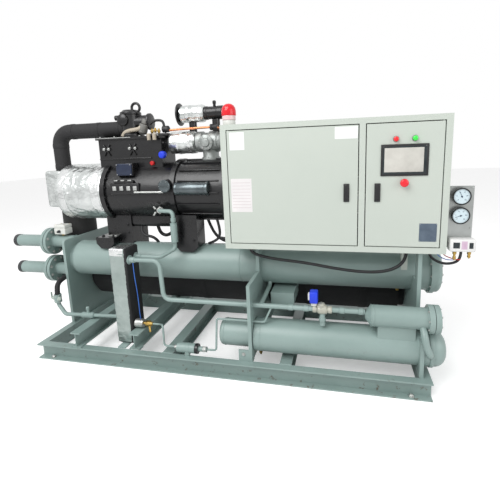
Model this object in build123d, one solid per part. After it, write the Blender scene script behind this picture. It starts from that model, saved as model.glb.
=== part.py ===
from build123d import *
import math
import os

# Water cooled screw compressor unit on a steel skid, in millimetres.
# The origin is the centre of the skid's footprint on the floor: X runs along the skid,
# Y from its front rail to its rear rail, Z up. In this file places along the skid are measured
# from its left end, and places across it from the front face of the front rail.

# Skid of channels and beams
skid_length = 2400.0
skid_depth = 900.0
beam_height = 100.0
channel_width = 48.0
cross_beam_width = 68.0
beam_web = 5.0
beam_flange = 8.0
left_cross_beam_place = 873.0
right_cross_beam_place = 1600.0
raised_left_beam_place = 262.0
raised_middle_beam_place = 648.0
raised_left_beam_front = 5.0
raised_middle_beam_front = 50.0
raised_beam_rear_inset = 5.0
anchor_hole_radius = 9.0
anchor_inset_x = 100.0
anchor_inset_y = 20.0

# Clearances
fit = 0.3
door_gap = 5.0

# Condenser shell, high at the front
condenser_radius = 125.0
condenser_y = 460.0
condenser_z = 561.0
condenser_start = 60.0
condenser_reach = 40.0
condenser_neck_radius = 105.0
tube_sheet_radius = 142.0
tube_sheet_length = 22.0
condenser_cover_radius = 134.0
condenser_cover_length = 40.0

# Evaporator shell under its insulation, low at the rear
evaporator_radius = 165.0
evaporator_y = 700.0
evaporator_z = 367.0
evaporator_end_inset = 40.0
evaporator_neck_radius = 136.5
suction_neck_place = -125.0
suction_neck_y = 680.0
suction_neck_radius = 120.0
suction_neck_top = 1010.0
suction_neck_round = 60.0
evaporator_head_length = 205.0
saddle_width = 160.0
saddle_length = 30.0

# Subcooler vessel, low at the front
subcooler_radius = 97.0
subcooler_small_radius = 79.5
subcooler_y = 150.0
subcooler_z = 222.0
subcooler_start = 1235.0
subcooler_step_gap = 4.0
subcooler_head_length = 78.0

# Filter drier above the subcooler
drier_radius = 57.0
drier_y = 100.0
drier_z = 408.0
drier_length = 281.0
drier_end_inset = 24.0
drier_cone = 30.0
drier_flange_radius = 74.0
drier_flange_length = 26.0
drier_flange_gap = 3.0
drier_saddle_inset = 35.0
drier_saddle_length = 190.0
drier_saddle_width = 44.0

# Support plates
plate_thickness = 20.0
left_plate_place = 2.0
left_plate_front = 318.0
left_plate_top = 718.0
plate_rear_inset = 28.0
middle_plate_place = 1424.0
middle_plate_front = 40.0
middle_plate_top = 560.0
middle_plate_foot = 60.0
middle_plate_foot_height = 70.0
middle_post_front = 290.0
middle_post_depth = 90.0
right_plate_inset = 62.0
right_plate_front = 40.0
right_plate_step = 190.0
right_plate_step_height = 300.0
right_post_depth = 70.0

# Water connections at the left end
water_pipe_radius = 44.5
water_spacing = 213.0
water_centre_z = 571.0
water_flange_radius = 100.0
water_flange_thickness = 22.0
water_flange_gap = 6.0
water_flange_place = -200.0
water_stub_length = 292.0
flow_switch_size = (96.0, 78.0, 72.0)
flow_switch_x = -98.0
flow_switch_stem = 12.0
flow_switch_stem_height = 14.0

# Compressor, laid along the skid above both shells
compressor_y = 540.0
compressor_z = 1045.0
inlet_box_start = -185.0
inlet_box_y = (440.0, 640.0)
inlet_box_z = (938.0, 1204.0)
inlet_box_round = 22.0
jacket_start = -37.0
jacket_end = 343.0
jacket_radius = 200.0
jacket_knob_place = 262.0
jacket_knob_radius = 22.0
jacket_knob_height = 30.0
casting_end = 858.0
casting_radius = 196.0
casting_flange_radius = 212.0
casting_flange_width = 34.0
motor_end = 1258.0
motor_radius = 205.0
motor_flange_radius = 218.0
motor_flange_width = 32.0
sump_start = 430.0
sump_length = 365.0
sump_y = (440.0, 610.0)
sump_bottom = 800.0
sump_round = 30.0
filter_housing_radius = 42.0
filter_housing_y = 338.0
filter_housing_z = 1075.0
filter_housing_start = 902.0
filter_housing_end = 1128.0
valve_boss_radius = 40.0
valve_boss_place = 844.0
valve_boss_z = 1096.0
valve_boss_front = 296.0
terminal_box_place = 470.0
terminal_box_size = (120.0, 86.0, 92.0)
terminal_box_y = 352.0
terminal_box_z = 1158.0
left_foot_place = 262.0
left_foot_width = 138.0
left_foot_bottom = 660.0
left_foot_height = 78.0
left_leg_inset = 46.0
left_leg_width = 192.0
left_leg_front = 430.0
right_foot_place = 864.0
right_foot_width = 160.0
right_foot_bottom = 654.0
right_foot_depth = 130.0
right_leg_width = 48.0
foot_front = 350.0
foot_rear = 640.0
foot_top = 900.0
foot_chamfer = 36.0

# Castings, valves and cylinders on top of the compressor
top_block_start = 300.0
top_block_end = 770.0
top_block_y = (440.0, 640.0)
top_block_z = (1252.0, 1420.0)
top_block_plate = 16.0
top_block_lip = 14.0
stop_valve_place = 505.0
stop_valve_y = 540.0
stop_valve_radius = 66.0
stop_valve_top = 1590.0
stop_valve_arm_radius = 46.0
stop_valve_arm_z = 1520.0
stop_valve_arm_end = 655.0
lifting_eye_radius = 30.0
lifting_eye_bar = 9.0
lifting_eye_place = 548.0
discharge_y = 560.0
discharge_z = 1370.0
discharge_radius = 78.0
discharge_start = 786.0
discharge_jacket_end = 985.0
discharge_end = 1160.0
discharge_body_radius = 70.0
discharge_neck_radius = 56.0
muffler_z = 1556.0
muffler_start = 870.0
muffler_jacket_end = 1050.0
muffler_radius = 58.0
muffler_disc = 8.0
muffler_disc_radius = 74.0
muffler_cap_end = 1178.0
muffler_cap_radius = 44.0
muffler_stem_radius = 26.0
muffler_stem_places = (955.0, 1120.0)
muffler_knob_radius = 12.0
muffler_knob_height = 34.0

# Insulated suction pipe
suction_radius = 53.0
suction_top_z = 1480.0
suction_x = -92.0
suction_y = 540.0
suction_bend = 95.0

# Plate heat exchanger in its jacket
exchanger_thickness = 114.0
exchanger_front = 100.0
exchanger_width = 150.0
exchanger_bottom = 106.0
exchanger_top = 732.0
exchanger_round = 10.0
upper_port_z = 655.0
lower_port_z = 236.0
front_port_y = 138.0
rear_port_y = 212.0

# Refrigerant pipes
liquid_pipe_radius = 14.0
liquid_pipe_y = 100.0
liquid_pipe_z = 424.0
liquid_riser_foot = 885.0
liquid_riser_top = 852.0
liquid_bend = 50.0
branch_radius = 13.0
branch_x = 1490.0
branch_rear = 372.0
branch_rise = 16.0
branch_bend = 30.0
vapour_pipe_radius = 13.0
vapour_x = (775.0, 888.0, 820.0)
vapour_y = (322.0, 295.0, 212.0)
vapour_z = (935.0, 690.0, 655.0)
vapour_bend = 28.0
sleeve_radius = 22.0
sleeve_bottom = 735.0
sleeve_top = 860.0
solenoid_gap = 204.0
solenoid_length = 104.0
solenoid_width = 46.0
solenoid_bottom = 392.0
solenoid_top = 459.0
solenoid_stub_radius = 15.0
solenoid_stub_bottom = 330.0
coil_width = 54.0
coil_height = 70.0
coil_back = 26.0
expansion_valve_place = 1510.0
expansion_valve_length = 145.0
expansion_valve_front = 300.0
expansion_valve_z = (349.0, 424.0)

# Small liquid line from the exchanger's lower right, with its own drier
small_valve_head_radius = 29.0
small_valve_head_length = 62.0
small_valve_neck_radius = 9.0
small_valve_neck_length = 16.0
small_valve_body = 46.0
small_pipe_radius = 6.0
small_bend = 16.0
small_drop_x = 884.0
small_drop_top = 274.0
small_drier_radius = 29.0
small_drier_start = 975.0
small_drier_end = 1108.0
small_drier_y = 60.0
small_drier_z = 140.0
small_nut_radius = 15.0
small_nut_end = 1160.0
small_clip_width = 24.0
small_clip_front = 34.0
small_riser_x = 1220.0
small_run_y = 96.0
small_run_z = 325.0
small_join_x = 1556.0

# Feed line from the exchanger's lower left
feed_pipe_radius = 13.0
feed_start_z = 232.0
feed_end_z = 216.0
feed_turn_x = 56.0
feed_riser_x = -4.0
feed_riser_y = 225.0
feed_riser_bottom = 280.0
feed_riser_top = 354.0
feed_bend = 40.0
feed_nut_radius = 24.0
feed_nut_bottom = 298.0
feed_spindle_radius = 9.0
feed_spindle_length = 46.0
feed_valve_place = 195.0
feed_valve_length = 92.0
feed_valve_radius = 20.0
feed_valve_z = 222.0
feed_stem_radius = 10.0
feed_stem_top = 282.0

# Control cabinet, hollow, with two doors
cabinet_place = 1281.0
cabinet_width = 1180.0
cabinet_front = 150.0
cabinet_depth = 250.0
cabinet_bottom = 742.0
cabinet_height = 700.0
cabinet_sheet = 2.0
door_bottom_inset = 36.0
door_height = 630.0
left_door_inset = 38.0
left_door_width = 701.0
door_post = 41.0
right_door_width = 364.0
door_depth = 20.0
door_sheet = 2.0
door_return_depth = 26.0
hinge_pin_radius = 2.5
hinge_running = 0.05
hinge_inset = 7.0
hinge_block = 15.0
hinge_block_height = 12.0
pin_end_gap = 2.0
lock_width = 30.0
lock_height = 96.0
lock_depth = 14.0
lock_inset = 42.0
lock_z = 1014.0
screen_width = 226.0
screen_height = 158.0
screen_depth = 7.0
screen_inset = 70.0
screen_z = 1146.0
stop_radius = 21.0
stop_depth = 34.0
stop_stem_radius = 12.0
stop_inset = 184.0
stop_z = 1112.0
bracket_place = 2276.0
bracket_width = 34.0
bracket_front = 338.0
bracket_depth = 50.0
beacon_inset = 40.0
beacon_y = 205.0
beacon_base_radius = 36.0
beacon_base_height = 52.0
beacon_dome_radius = 41.0
beacon_dome_height = 66.0
mounting_plate_inset = 40.0
mounting_plate_gap = 14.0
mounting_plate_sheet = 2.5
standoff_radius = 8.0
switchgear_depth = 70.0
switchgear_height = 110.0
switchgear_width = 90.0
switchgear_rows = 3
switchgear_columns = 7

# Gauge panel at the cabinet's right side
panel_front = 205.0
panel_width = 128.0
panel_sheet = 2.0
panel_return = 45.0
panel_top = 1087.0
panel_tail_bottom = 766.0
gauge_radius = 44.0
gauge_depth = 32.0
gauge_places = (1036.0, 938.0)
controller_width = 120.0
controller_height = 66.0
controller_depth = 55.0
controller_gap = 16.0
controller_bottom = 756.0

# Loose cables
cabinet_cable_radius = 9.0
cabinet_cable_route = [
    (1403, 250, 742), (1403, 250, 700), (1450, 250, 676), (1560, 250, 656), (1740, 250, 640),
    (1900, 250, 612), (2060, 250, 596), (2180, 250, 604), (2256, 250, 640), (2288, 250, 694),
    (2288, 250, 742),
]
controller_cable_radius = 7.0
controller_cable_route = [
    (2537, 178, 756), (2537, 178, 716), (2516, 196, 684), (2470, 226, 668), (2424, 250, 684),
    (2404, 258, 712), (2404, 258, 742),
]
sensor_wire_radius = 2.5
sensor_wire_route = [
    (672, 137, 639.8), (684, 120, 608), (690, 112, 566), (697, 108, 512), (702, 108, 458), (704, 108, 404),
    (704, 110, 350), (700, 116, 304), (694, 131, 266),
]

left = -skid_length / 2
front = -skid_depth / 2
plate_rear = skid_depth - plate_rear_inset
right_plate_place = skid_length - right_plate_inset
condenser_end = skid_length + condenser_reach
subcooler_end = skid_length
drier_end = skid_length - drier_end_inset
drier_start = drier_end - drier_length
solenoid_place = drier_start - solenoid_gap - solenoid_length
half_beam = beam_height / 2
raised_top = 2 * beam_height
left_plate_face = left_plate_place + plate_thickness
middle_plate_face = middle_plate_place + plate_thickness
right_plate_face = right_plate_place + plate_thickness
exchanger_right = raised_middle_beam_place
exchanger_place = exchanger_right - exchanger_thickness
exchanger_rear = exchanger_front + exchanger_width


def block(x0, x1, y0, y1, z0, z1):
    """A box between two places on each axis."""
    centre = Pos(left + (x0 + x1) / 2, front + (y0 + y1) / 2, (z0 + z1) / 2)
    return centre * Box(x1 - x0, y1 - y0, z1 - z0)


def rod_x(x0, x1, y, z, radius):
    """A round bar along the skid."""
    return Pos(left + (x0 + x1) / 2, front + y, z) * Rot(0, 90, 0) * Cylinder(radius, x1 - x0)


def rod_y(y0, y1, x, z, radius):
    """A round bar across the skid."""
    return Pos(left + x, front + (y0 + y1) / 2, z) * Rot(90, 0, 0) * Cylinder(radius, y1 - y0)


def rod_z(z0, z1, x, y, radius):
    """An upright round bar."""
    return Pos(left + x, front + y, (z0 + z1) / 2) * Cylinder(radius, z1 - z0)


def pipe(points, radius, bend):
    """A round pipe along straight runs joined by bends."""
    places = [(left + x, front + y, z) for x, y, z in points]
    if len(places) > 2:
        path = FilletPolyline(*places, radius=bend)
    else:
        path = Line(*places)
    section = Plane(origin=path @ 0, z_dir=path % 0) * Circle(radius)
    return sweep(section, path=path)


def prism(points, y0, y1):
    """A solid with the same outline, given along X and Z, from one place across the skid to another."""
    outline = Polygon(*[(left + x, z) for x, z in points], align=None)
    return extrude(Plane(origin=(0, front + y1, 0), x_dir=(1, 0, 0), z_dir=(0, -1, 0)) * outline, y1 - y0)


def save(part, name):
    """Write one sub-part to its own file."""
    part.label = name
    export_step(part, "parts/" + name + ".step")


def channel(length, open_side):
    """A channel along X with its open side towards -Y or +Y."""
    body = Box(length, channel_width, beam_height)
    hollow = Box(length, channel_width, beam_height - 2 * beam_flange)
    return body - Pos(0, open_side * beam_web, 0) * hollow


def wide_beam(length):
    """A beam along Y with flanges on both sides of its web."""
    body = Box(cross_beam_width, length, beam_height)
    side = (cross_beam_width - beam_web) / 2
    hollow = Box(side, length, beam_height - 2 * beam_flange)
    for way in (-1, 1):
        body -= Pos(way * (beam_web + side) / 2, 0, 0) * hollow
    return body


def placed_beam(place, start, end, bottom):
    """A beam between two places across the skid."""
    middle = front + (start + end) / 2
    return Pos(left + place + cross_beam_width / 2, middle, bottom + half_beam) * wide_beam(end - start)


os.makedirs("parts", exist_ok=True)

# Skid
front_rail = Pos(0, front + channel_width / 2, half_beam) * channel(skid_length, -1)
rear_rail = Pos(0, -front - channel_width / 2, half_beam) * channel(skid_length, 1)
for x in (anchor_inset_x, skid_length - anchor_inset_x):
    front_rail -= rod_z(-1, beam_flange + 1, x, anchor_inset_y, anchor_hole_radius)
    rear_rail -= rod_z(-1, beam_flange + 1, x, skid_depth - anchor_inset_y, anchor_hole_radius)
save(front_rail, "front_rail")
save(rear_rail, "rear_rail")
inner_front = channel_width
inner_rear = skid_depth - channel_width
end_channel = channel(inner_rear - inner_front, -1)
save(Pos(left + channel_width / 2, 0, half_beam) * Rot(0, 0, -90) * end_channel, "left_end_rail")
save(Pos(-left - channel_width / 2, 0, half_beam) * Rot(0, 0, 90) * end_channel, "right_end_rail")
save(placed_beam(left_cross_beam_place, inner_front, inner_rear, 0), "left_cross_beam")
save(placed_beam(right_cross_beam_place, inner_front, inner_rear, 0), "right_cross_beam")
raised_rear = skid_depth - raised_beam_rear_inset
raised_left_beam = placed_beam(raised_left_beam_place, raised_left_beam_front, raised_rear, beam_height)
raised_middle_beam = placed_beam(
    raised_middle_beam_place, raised_middle_beam_front, raised_rear, beam_height
)

# Condenser shell with its tube sheet and end cover
condenser_shell = rod_x(condenser_start, condenser_end, condenser_y, condenser_z, condenser_radius)
condenser_shell += rod_x(left_plate_face, condenser_start, condenser_y, condenser_z, condenser_neck_radius)
tube_sheet_end = condenser_end + tube_sheet_length
condenser_shell += rod_x(condenser_end, tube_sheet_end, condenser_y, condenser_z, tube_sheet_radius)
condenser_cover = rod_x(
    tube_sheet_end, tube_sheet_end + condenser_cover_length, condenser_y, condenser_z, condenser_cover_radius
)
condenser_cover = fillet(condenser_cover.edges().sort_by(Axis.X)[-1], condenser_cover_length * 0.6)
space_end = skid_length + condenser_reach
condenser_space = rod_x(0, space_end, condenser_y, condenser_z, condenser_radius + fit)
save(condenser_shell, "condenser_shell")
save(condenser_cover, "condenser_cover")

# Evaporator shell, with a smaller end at each side and saddles on the raised beams
evaporator_start = left_plate_face + evaporator_end_inset
evaporator_end = right_plate_place - evaporator_end_inset
evaporator_shell = rod_x(
    evaporator_start, evaporator_end, evaporator_y, evaporator_z, evaporator_radius
)
evaporator_shell += rod_x(
    left_plate_face, right_plate_place, evaporator_y, evaporator_z, evaporator_neck_radius
)
evaporator_space = rod_x(0, space_end, evaporator_y, evaporator_z, evaporator_radius + fit)
save(evaporator_shell, "evaporator_shell")
saddle_inset = (cross_beam_width - saddle_length) / 2


def with_saddle(beam, place):
    """A raised beam with a saddle under the evaporator shell."""
    saddle = block(
        place + saddle_inset, place + saddle_inset + saddle_length,
        evaporator_y - saddle_width / 2, evaporator_y + saddle_width / 2, raised_top - 1, evaporator_z,
    )
    return beam + (saddle - evaporator_space)


save(with_saddle(raised_left_beam, raised_left_beam_place), "raised_left_beam")
save(with_saddle(raised_middle_beam, raised_middle_beam_place), "raised_middle_beam")

# Support plates with round cut-outs for the vessels
left_plate = block(
    left_plate_place, left_plate_face, left_plate_front, plate_rear, beam_height, left_plate_top
)
left_plate = fillet(left_plate.edges().filter_by(Axis.X).group_by(Axis.Z)[-1], 22)
middle_plate = block(
    middle_plate_place, middle_plate_face, middle_plate_front, plate_rear, beam_height, middle_plate_top
)
middle_plate += block(
    middle_plate_place, middle_plate_face, middle_post_front, middle_post_front + middle_post_depth,
    middle_plate_top, cabinet_bottom,
)
middle_plate -= condenser_space
middle_plate -= evaporator_space
middle_plate -= rod_x(0, space_end, subcooler_y, subcooler_z, subcooler_small_radius + fit)
middle_plate -= rod_x(0, space_end, liquid_pipe_y, liquid_pipe_z, liquid_pipe_radius + fit)
middle_plate -= rod_x(0, space_end, small_run_y, small_run_z, small_pipe_radius + fit)
middle_plate += block(
    middle_plate_place - middle_plate_foot, middle_plate_place, middle_plate_front,
    channel_width, beam_height, beam_height + middle_plate_foot_height,
)
right_plate = block(
    right_plate_place, right_plate_face, right_plate_front, plate_rear, beam_height, right_plate_step_height
)
right_plate += block(
    right_plate_place, right_plate_face, right_plate_step, plate_rear,
    right_plate_step_height, condenser_z,
)
right_plate += block(
    right_plate_place, right_plate_face, right_plate_step, right_plate_step + right_post_depth,
    condenser_z, cabinet_bottom,
)
right_plate -= condenser_space
right_plate -= rod_x(0, space_end, subcooler_y, subcooler_z, subcooler_radius + fit)
save(left_plate, "left_support_plate")
save(middle_plate, "middle_support_plate")
save(right_plate, "right_support_plate")

# Subcooler vessel with its smaller left end and its domed right head
subcooler_step = middle_plate_face + subcooler_step_gap
subcooler = rod_x(subcooler_step, subcooler_end, subcooler_y, subcooler_z, subcooler_radius)
subcooler += rod_x(subcooler_start, subcooler_step, subcooler_y, subcooler_z, subcooler_small_radius)
subcooler = fillet(subcooler.edges().sort_by(Axis.X)[0], 20)
subcooler_head = rod_x(
    subcooler_end, subcooler_end + subcooler_head_length, subcooler_y, subcooler_z, subcooler_radius
)
subcooler_head = fillet(subcooler_head.edges().sort_by(Axis.X)[-1], subcooler_head_length * 0.8)
subcooler_space = rod_x(0, space_end, subcooler_y, subcooler_z, subcooler_radius + fit)
save(subcooler, "subcooler_vessel")
save(subcooler_head, "subcooler_head")

# Filter drier with its reducer, its bolted end and its saddle
drier = rod_x(drier_start, drier_end, drier_y, drier_z, drier_radius)
cone = Pos(left + drier_start - drier_cone / 2, front + drier_y, drier_z) * Rot(0, 90, 0) * Cone(
    liquid_pipe_radius + 4, drier_radius, drier_cone
)
drier += cone
drier += rod_x(drier_end, drier_end + drier_flange_length, drier_y, drier_z, drier_flange_radius)
drier_cap_start = drier_end + drier_flange_length + drier_flange_gap
drier_cap = rod_x(
    drier_cap_start, drier_cap_start + drier_flange_length, drier_y, drier_z, drier_flange_radius
)
drier_cap += rod_x(
    drier_end + drier_flange_length, drier_cap_start, drier_y, drier_z, drier_radius
)
saddle_start = drier_start + drier_saddle_inset
drier_saddle = block(
    saddle_start, saddle_start + drier_saddle_length,
    drier_y - drier_saddle_width / 2, drier_y + drier_saddle_width / 2, subcooler_z, drier_z,
)
drier += drier_saddle - subcooler_space
save(drier, "filter_drier")
save(drier_cap, "filter_drier_cover")

# Water pipes, closed for transport, each with a pair of flanges and a neck to the left support plate
flange_end = water_flange_place + water_flange_thickness
stub_flange_end = water_flange_place - water_flange_gap
stub_flange_start = stub_flange_end - water_flange_thickness
stub_start = stub_flange_start - water_stub_length
for name, way in (("upper_water", 1), ("lower_water", -1)):
    z = water_centre_z + way * water_spacing / 2
    neck = rod_x(stub_flange_end, left_plate_place, condenser_y, z, water_pipe_radius)
    neck += rod_x(water_flange_place, flange_end, condenser_y, z, water_flange_radius)
    stub = rod_x(stub_flange_start, stub_flange_end, condenser_y, z, water_flange_radius)
    stub += rod_x(stub_start, stub_flange_start, condenser_y, z, water_pipe_radius)
    save(neck, name + "_neck")
    save(stub, name + "_pipe")

# Flow switch on the upper neck
upper_water_z = water_centre_z + water_spacing / 2
switch_x, switch_y, switch_z = flow_switch_size
switch_bottom = upper_water_z + water_pipe_radius + flow_switch_stem_height
flow_switch = block(
    flow_switch_x - switch_x / 2, flow_switch_x + switch_x / 2,
    condenser_y - switch_y / 2, condenser_y + switch_y / 2, switch_bottom, switch_bottom + switch_z,
)
flow_switch = fillet(flow_switch.edges(), 8)
stem = rod_z(upper_water_z, switch_bottom + 1, flow_switch_x, condenser_y, flow_switch_stem)
stem -= rod_x(stub_start, left_plate_place, condenser_y, upper_water_z, water_pipe_radius + fit)
save(flow_switch + stem, "flow_switch")

# Compressor castings
inlet_box = block(inlet_box_start, jacket_start, *inlet_box_y, *inlet_box_z)
inlet_box = fillet(inlet_box.edges().filter_by(Axis.X), inlet_box_round)
jacket = rod_x(jacket_start, jacket_end, compressor_y, compressor_z, jacket_radius)
knob_bottom = compressor_z
knob_top = compressor_z + jacket_radius + jacket_knob_height
jacket += rod_z(knob_bottom, knob_top, jacket_knob_place, compressor_y, jacket_knob_radius)
casting = rod_x(jacket_end, casting_end, compressor_y, compressor_z, casting_radius)
casting += rod_x(
    jacket_end, jacket_end + casting_flange_width, compressor_y, compressor_z, casting_flange_radius
)
motor = rod_x(casting_end, motor_end, compressor_y, compressor_z, motor_radius)
for start in (casting_end, motor_end - 2 * motor_flange_width):
    motor += rod_x(
        start, start + motor_flange_width, compressor_y, compressor_z, motor_flange_radius
    )
casting += rod_y(valve_boss_front, compressor_y, valve_boss_place, valve_boss_z, valve_boss_radius)
motor += rod_x(
    filter_housing_start, filter_housing_end, filter_housing_y, filter_housing_z, filter_housing_radius
)
motor -= rod_y(valve_boss_front, compressor_y, valve_boss_place, valve_boss_z, valve_boss_radius + fit)
sump = block(sump_start, sump_start + sump_length, *sump_y, sump_bottom, compressor_z)
casting += fillet(sump.edges().filter_by(Axis.X).group_by(Axis.Z)[0], sump_round)
save(inlet_box, "compressor_inlet_box")
save(jacket, "compressor_jacket")
save(casting, "compressor_casting")
save(motor, "compressor_motor")

# Terminal box on the casting's front shoulder
box_x, box_y, box_z = terminal_box_size
terminal_box = block(
    terminal_box_place, terminal_box_place + box_x, terminal_box_y, terminal_box_y + box_y,
    terminal_box_z, terminal_box_z + box_z,
)
terminal_box -= rod_x(jacket_end, casting_end, compressor_y, compressor_z, casting_radius + fit)
save(terminal_box, "terminal_box")

# Space that the compressor takes, which its feet and the pieces around it keep clear of
casting_space = rod_x(0, casting_end, compressor_y, compressor_z, casting_radius + fit)
jacket_space = rod_x(jacket_start - fit, jacket_end + fit, compressor_y, compressor_z, jacket_radius + fit)
casting_flange_space = rod_x(
    jacket_end - fit, jacket_end + casting_flange_width + fit, compressor_y, compressor_z,
    casting_flange_radius + fit,
)
motor_space = rod_x(casting_end - fit, motor_end, compressor_y, compressor_z, motor_radius + fit)
motor_flange_space = rod_x(
    casting_end - fit, casting_end + motor_flange_width + fit, compressor_y, compressor_z,
    motor_flange_radius + fit,
)

sump_space = block(
    sump_start - fit, sump_start + sump_length + fit, sump_y[0] - fit, sump_y[1] + fit,
    sump_bottom - fit, compressor_z,
)
compressor_space = casting_space + jacket_space + casting_flange_space
compressor_space = compressor_space + motor_space + motor_flange_space + sump_space


def foot_block(place, width, bottom, top, depth):
    """The front block of a foot, with chamfered lower corners."""
    end = place + width
    outline = [
        (place, top), (place, bottom + foot_chamfer), (place + foot_chamfer, bottom),
        (end - foot_chamfer, bottom), (end, bottom + foot_chamfer), (end, top),
    ]
    return prism(outline, foot_front, foot_front + depth)


# Feet with chamfered lower corners, the left one a low bar with a leg on it
left_foot = foot_block(
    left_foot_place, left_foot_width, left_foot_bottom, left_foot_bottom + left_foot_height,
    foot_rear - foot_front,
)
leg_start = left_foot_place + left_leg_inset
left_foot += block(leg_start, leg_start + left_leg_width, left_leg_front, foot_rear, condenser_z, foot_top)
left_foot = left_foot - condenser_space - evaporator_space - compressor_space
right_foot = foot_block(
    right_foot_place, right_foot_width, right_foot_bottom, foot_top, right_foot_depth
)
right_foot += block(
    right_foot_place, right_foot_place + right_leg_width, foot_front + right_foot_depth, foot_rear,
    condenser_z, foot_top,
)
right_foot = right_foot - condenser_space - evaporator_space - compressor_space
save(left_foot, "left_compressor_foot")
save(right_foot, "right_compressor_foot")

# Insulated suction neck from the evaporator's left end up to the inlet box
suction_neck = rod_z(
    evaporator_z, suction_neck_top, suction_neck_place, suction_neck_y, suction_neck_radius
)
suction_neck = fillet(suction_neck.edges().sort_by(Axis.Z)[-1], suction_neck_round)
evaporator_head_start = left_plate_place - evaporator_head_length
suction_neck += rod_x(
    evaporator_head_start, left_plate_place, evaporator_y, evaporator_z, evaporator_neck_radius
)
suction_neck -= block(inlet_box_start, jacket_start, *inlet_box_y, *inlet_box_z)
save(suction_neck - jacket_space, "suction_neck")

# Block, stop valve and lifting eye on top of the casting
top_block = block(
    top_block_start, top_block_end, *top_block_y, compressor_z + casting_radius - 60, top_block_z[1]
)
top_block += block(
    top_block_start - top_block_lip, top_block_end + top_block_lip,
    top_block_y[0] - top_block_lip, top_block_y[1] + top_block_lip,
    top_block_z[1] - top_block_plate, top_block_z[1],
)
top_block = top_block - casting_space - jacket_space - casting_flange_space
top_block -= rod_z(knob_bottom, knob_top + fit, jacket_knob_place, compressor_y, jacket_knob_radius + fit)
stop_valve = rod_z(top_block_z[1], stop_valve_top, stop_valve_place, stop_valve_y, stop_valve_radius)
stop_valve += rod_x(
    stop_valve_place, stop_valve_arm_end, stop_valve_y, stop_valve_arm_z, stop_valve_arm_radius
)
eye_centre = Pos(left + lifting_eye_place, front + stop_valve_y, stop_valve_top + lifting_eye_radius - 2)
lifting_eye = eye_centre * Rot(90, 0, 0) * Torus(lifting_eye_radius, lifting_eye_bar)
stop_valve += lifting_eye
save(top_block, "compressor_top_block")
save(stop_valve, "stop_valve")

# Cylinders on top of the motor end, the upper one on two stems
neck_place = (discharge_jacket_end + discharge_end) / 2
discharge = rod_x(discharge_start, discharge_jacket_end, discharge_y, discharge_z, discharge_radius)
discharge += rod_x(discharge_jacket_end, discharge_end, discharge_y, discharge_z, discharge_body_radius)
discharge += rod_z(compressor_z, discharge_z, neck_place, discharge_y, discharge_neck_radius)
discharge -= motor_space
muffler = rod_x(muffler_start, muffler_jacket_end, discharge_y, muffler_z, muffler_radius)
muffler += rod_x(
    muffler_start - muffler_disc, muffler_start, discharge_y, muffler_z, muffler_disc_radius
)
muffler += rod_x(muffler_jacket_end, muffler_cap_end, discharge_y, muffler_z, muffler_cap_radius)
cap_place = (muffler_jacket_end + muffler_cap_end) / 2
knob_end = muffler_z + muffler_cap_radius + muffler_knob_height
muffler += rod_z(muffler_z, knob_end, cap_place, discharge_y, muffler_knob_radius)
for x in muffler_stem_places:
    muffler += rod_z(discharge_z, muffler_z, x, discharge_y, muffler_stem_radius)
muffler -= rod_x(discharge_start, motor_end, discharge_y, discharge_z, discharge_body_radius + fit)
muffler -= rod_x(
    discharge_start, discharge_jacket_end + fit, discharge_y, discharge_z, discharge_radius + fit
)
save(discharge, "discharge_valve")
save(muffler, "muffler")

# Insulated suction pipe from the inlet box up and over to the stop valve's block
suction_pipe = pipe(
    [
        (suction_x, suction_y, inlet_box_z[1]),
        (suction_x, suction_y, suction_top_z),
        (stop_valve_place, suction_y, suction_top_z),
    ],
    suction_radius, suction_bend,
)
valve_space = rod_z(
    top_block_z[1], stop_valve_top, stop_valve_place, stop_valve_y, stop_valve_radius + fit
)
suction_pipe -= valve_space
save(suction_pipe, "suction_pipe")

# Plate heat exchanger in its jacket, against the raised middle beam
exchanger = block(
    exchanger_place, exchanger_right, exchanger_front, exchanger_rear, exchanger_bottom, exchanger_top
)
exchanger = fillet(exchanger.edges().filter_by(Axis.Z), exchanger_round)
save(exchanger, "plate_heat_exchanger")

# Liquid pipe from the filter drier through the middle plate to the exchanger, with a branch
liquid_pipe = pipe(
    [
        (drier_start - drier_cone, liquid_pipe_y, liquid_pipe_z),
        (liquid_riser_foot, liquid_pipe_y, liquid_pipe_z),
        (liquid_riser_top, front_port_y, upper_port_z),
        (exchanger_right, front_port_y, upper_port_z),
    ],
    liquid_pipe_radius, liquid_bend,
)
branch = pipe(
    [
        (branch_x, liquid_pipe_y, liquid_pipe_z),
        (branch_x, branch_rear, liquid_pipe_z + branch_rise),
        (branch_x, condenser_y, condenser_z),
    ],
    branch_radius, branch_bend,
)
liquid_pipe += branch - condenser_space
liquid_space = rod_x(
    liquid_riser_foot, drier_start, liquid_pipe_y, liquid_pipe_z, liquid_pipe_radius + fit
)
save(liquid_pipe, "liquid_pipe")

# Solenoid valve round the liquid pipe, with its coil on top
solenoid_end = solenoid_place + solenoid_length
half_width = solenoid_width / 2
solenoid = block(
    solenoid_place, solenoid_end, liquid_pipe_y - half_width, liquid_pipe_y + half_width,
    solenoid_bottom, solenoid_top,
)
coil_start = solenoid_place - coil_back
solenoid += block(
    coil_start, coil_start + coil_width, liquid_pipe_y - coil_width / 2, liquid_pipe_y + coil_width / 2,
    solenoid_top, solenoid_top + coil_height,
)
solenoid += rod_z(
    solenoid_stub_bottom, solenoid_bottom, solenoid_place + solenoid_length / 2, liquid_pipe_y,
    solenoid_stub_radius,
)
solenoid -= liquid_space
save(solenoid, "solenoid_valve")

# Expansion valve block in front of the evaporator shell
expansion_valve_end = expansion_valve_place + expansion_valve_length
expansion_valve = block(
    expansion_valve_place, expansion_valve_end, expansion_valve_front, evaporator_y, *expansion_valve_z
)
save(expansion_valve - evaporator_space, "expansion_valve")

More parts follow.
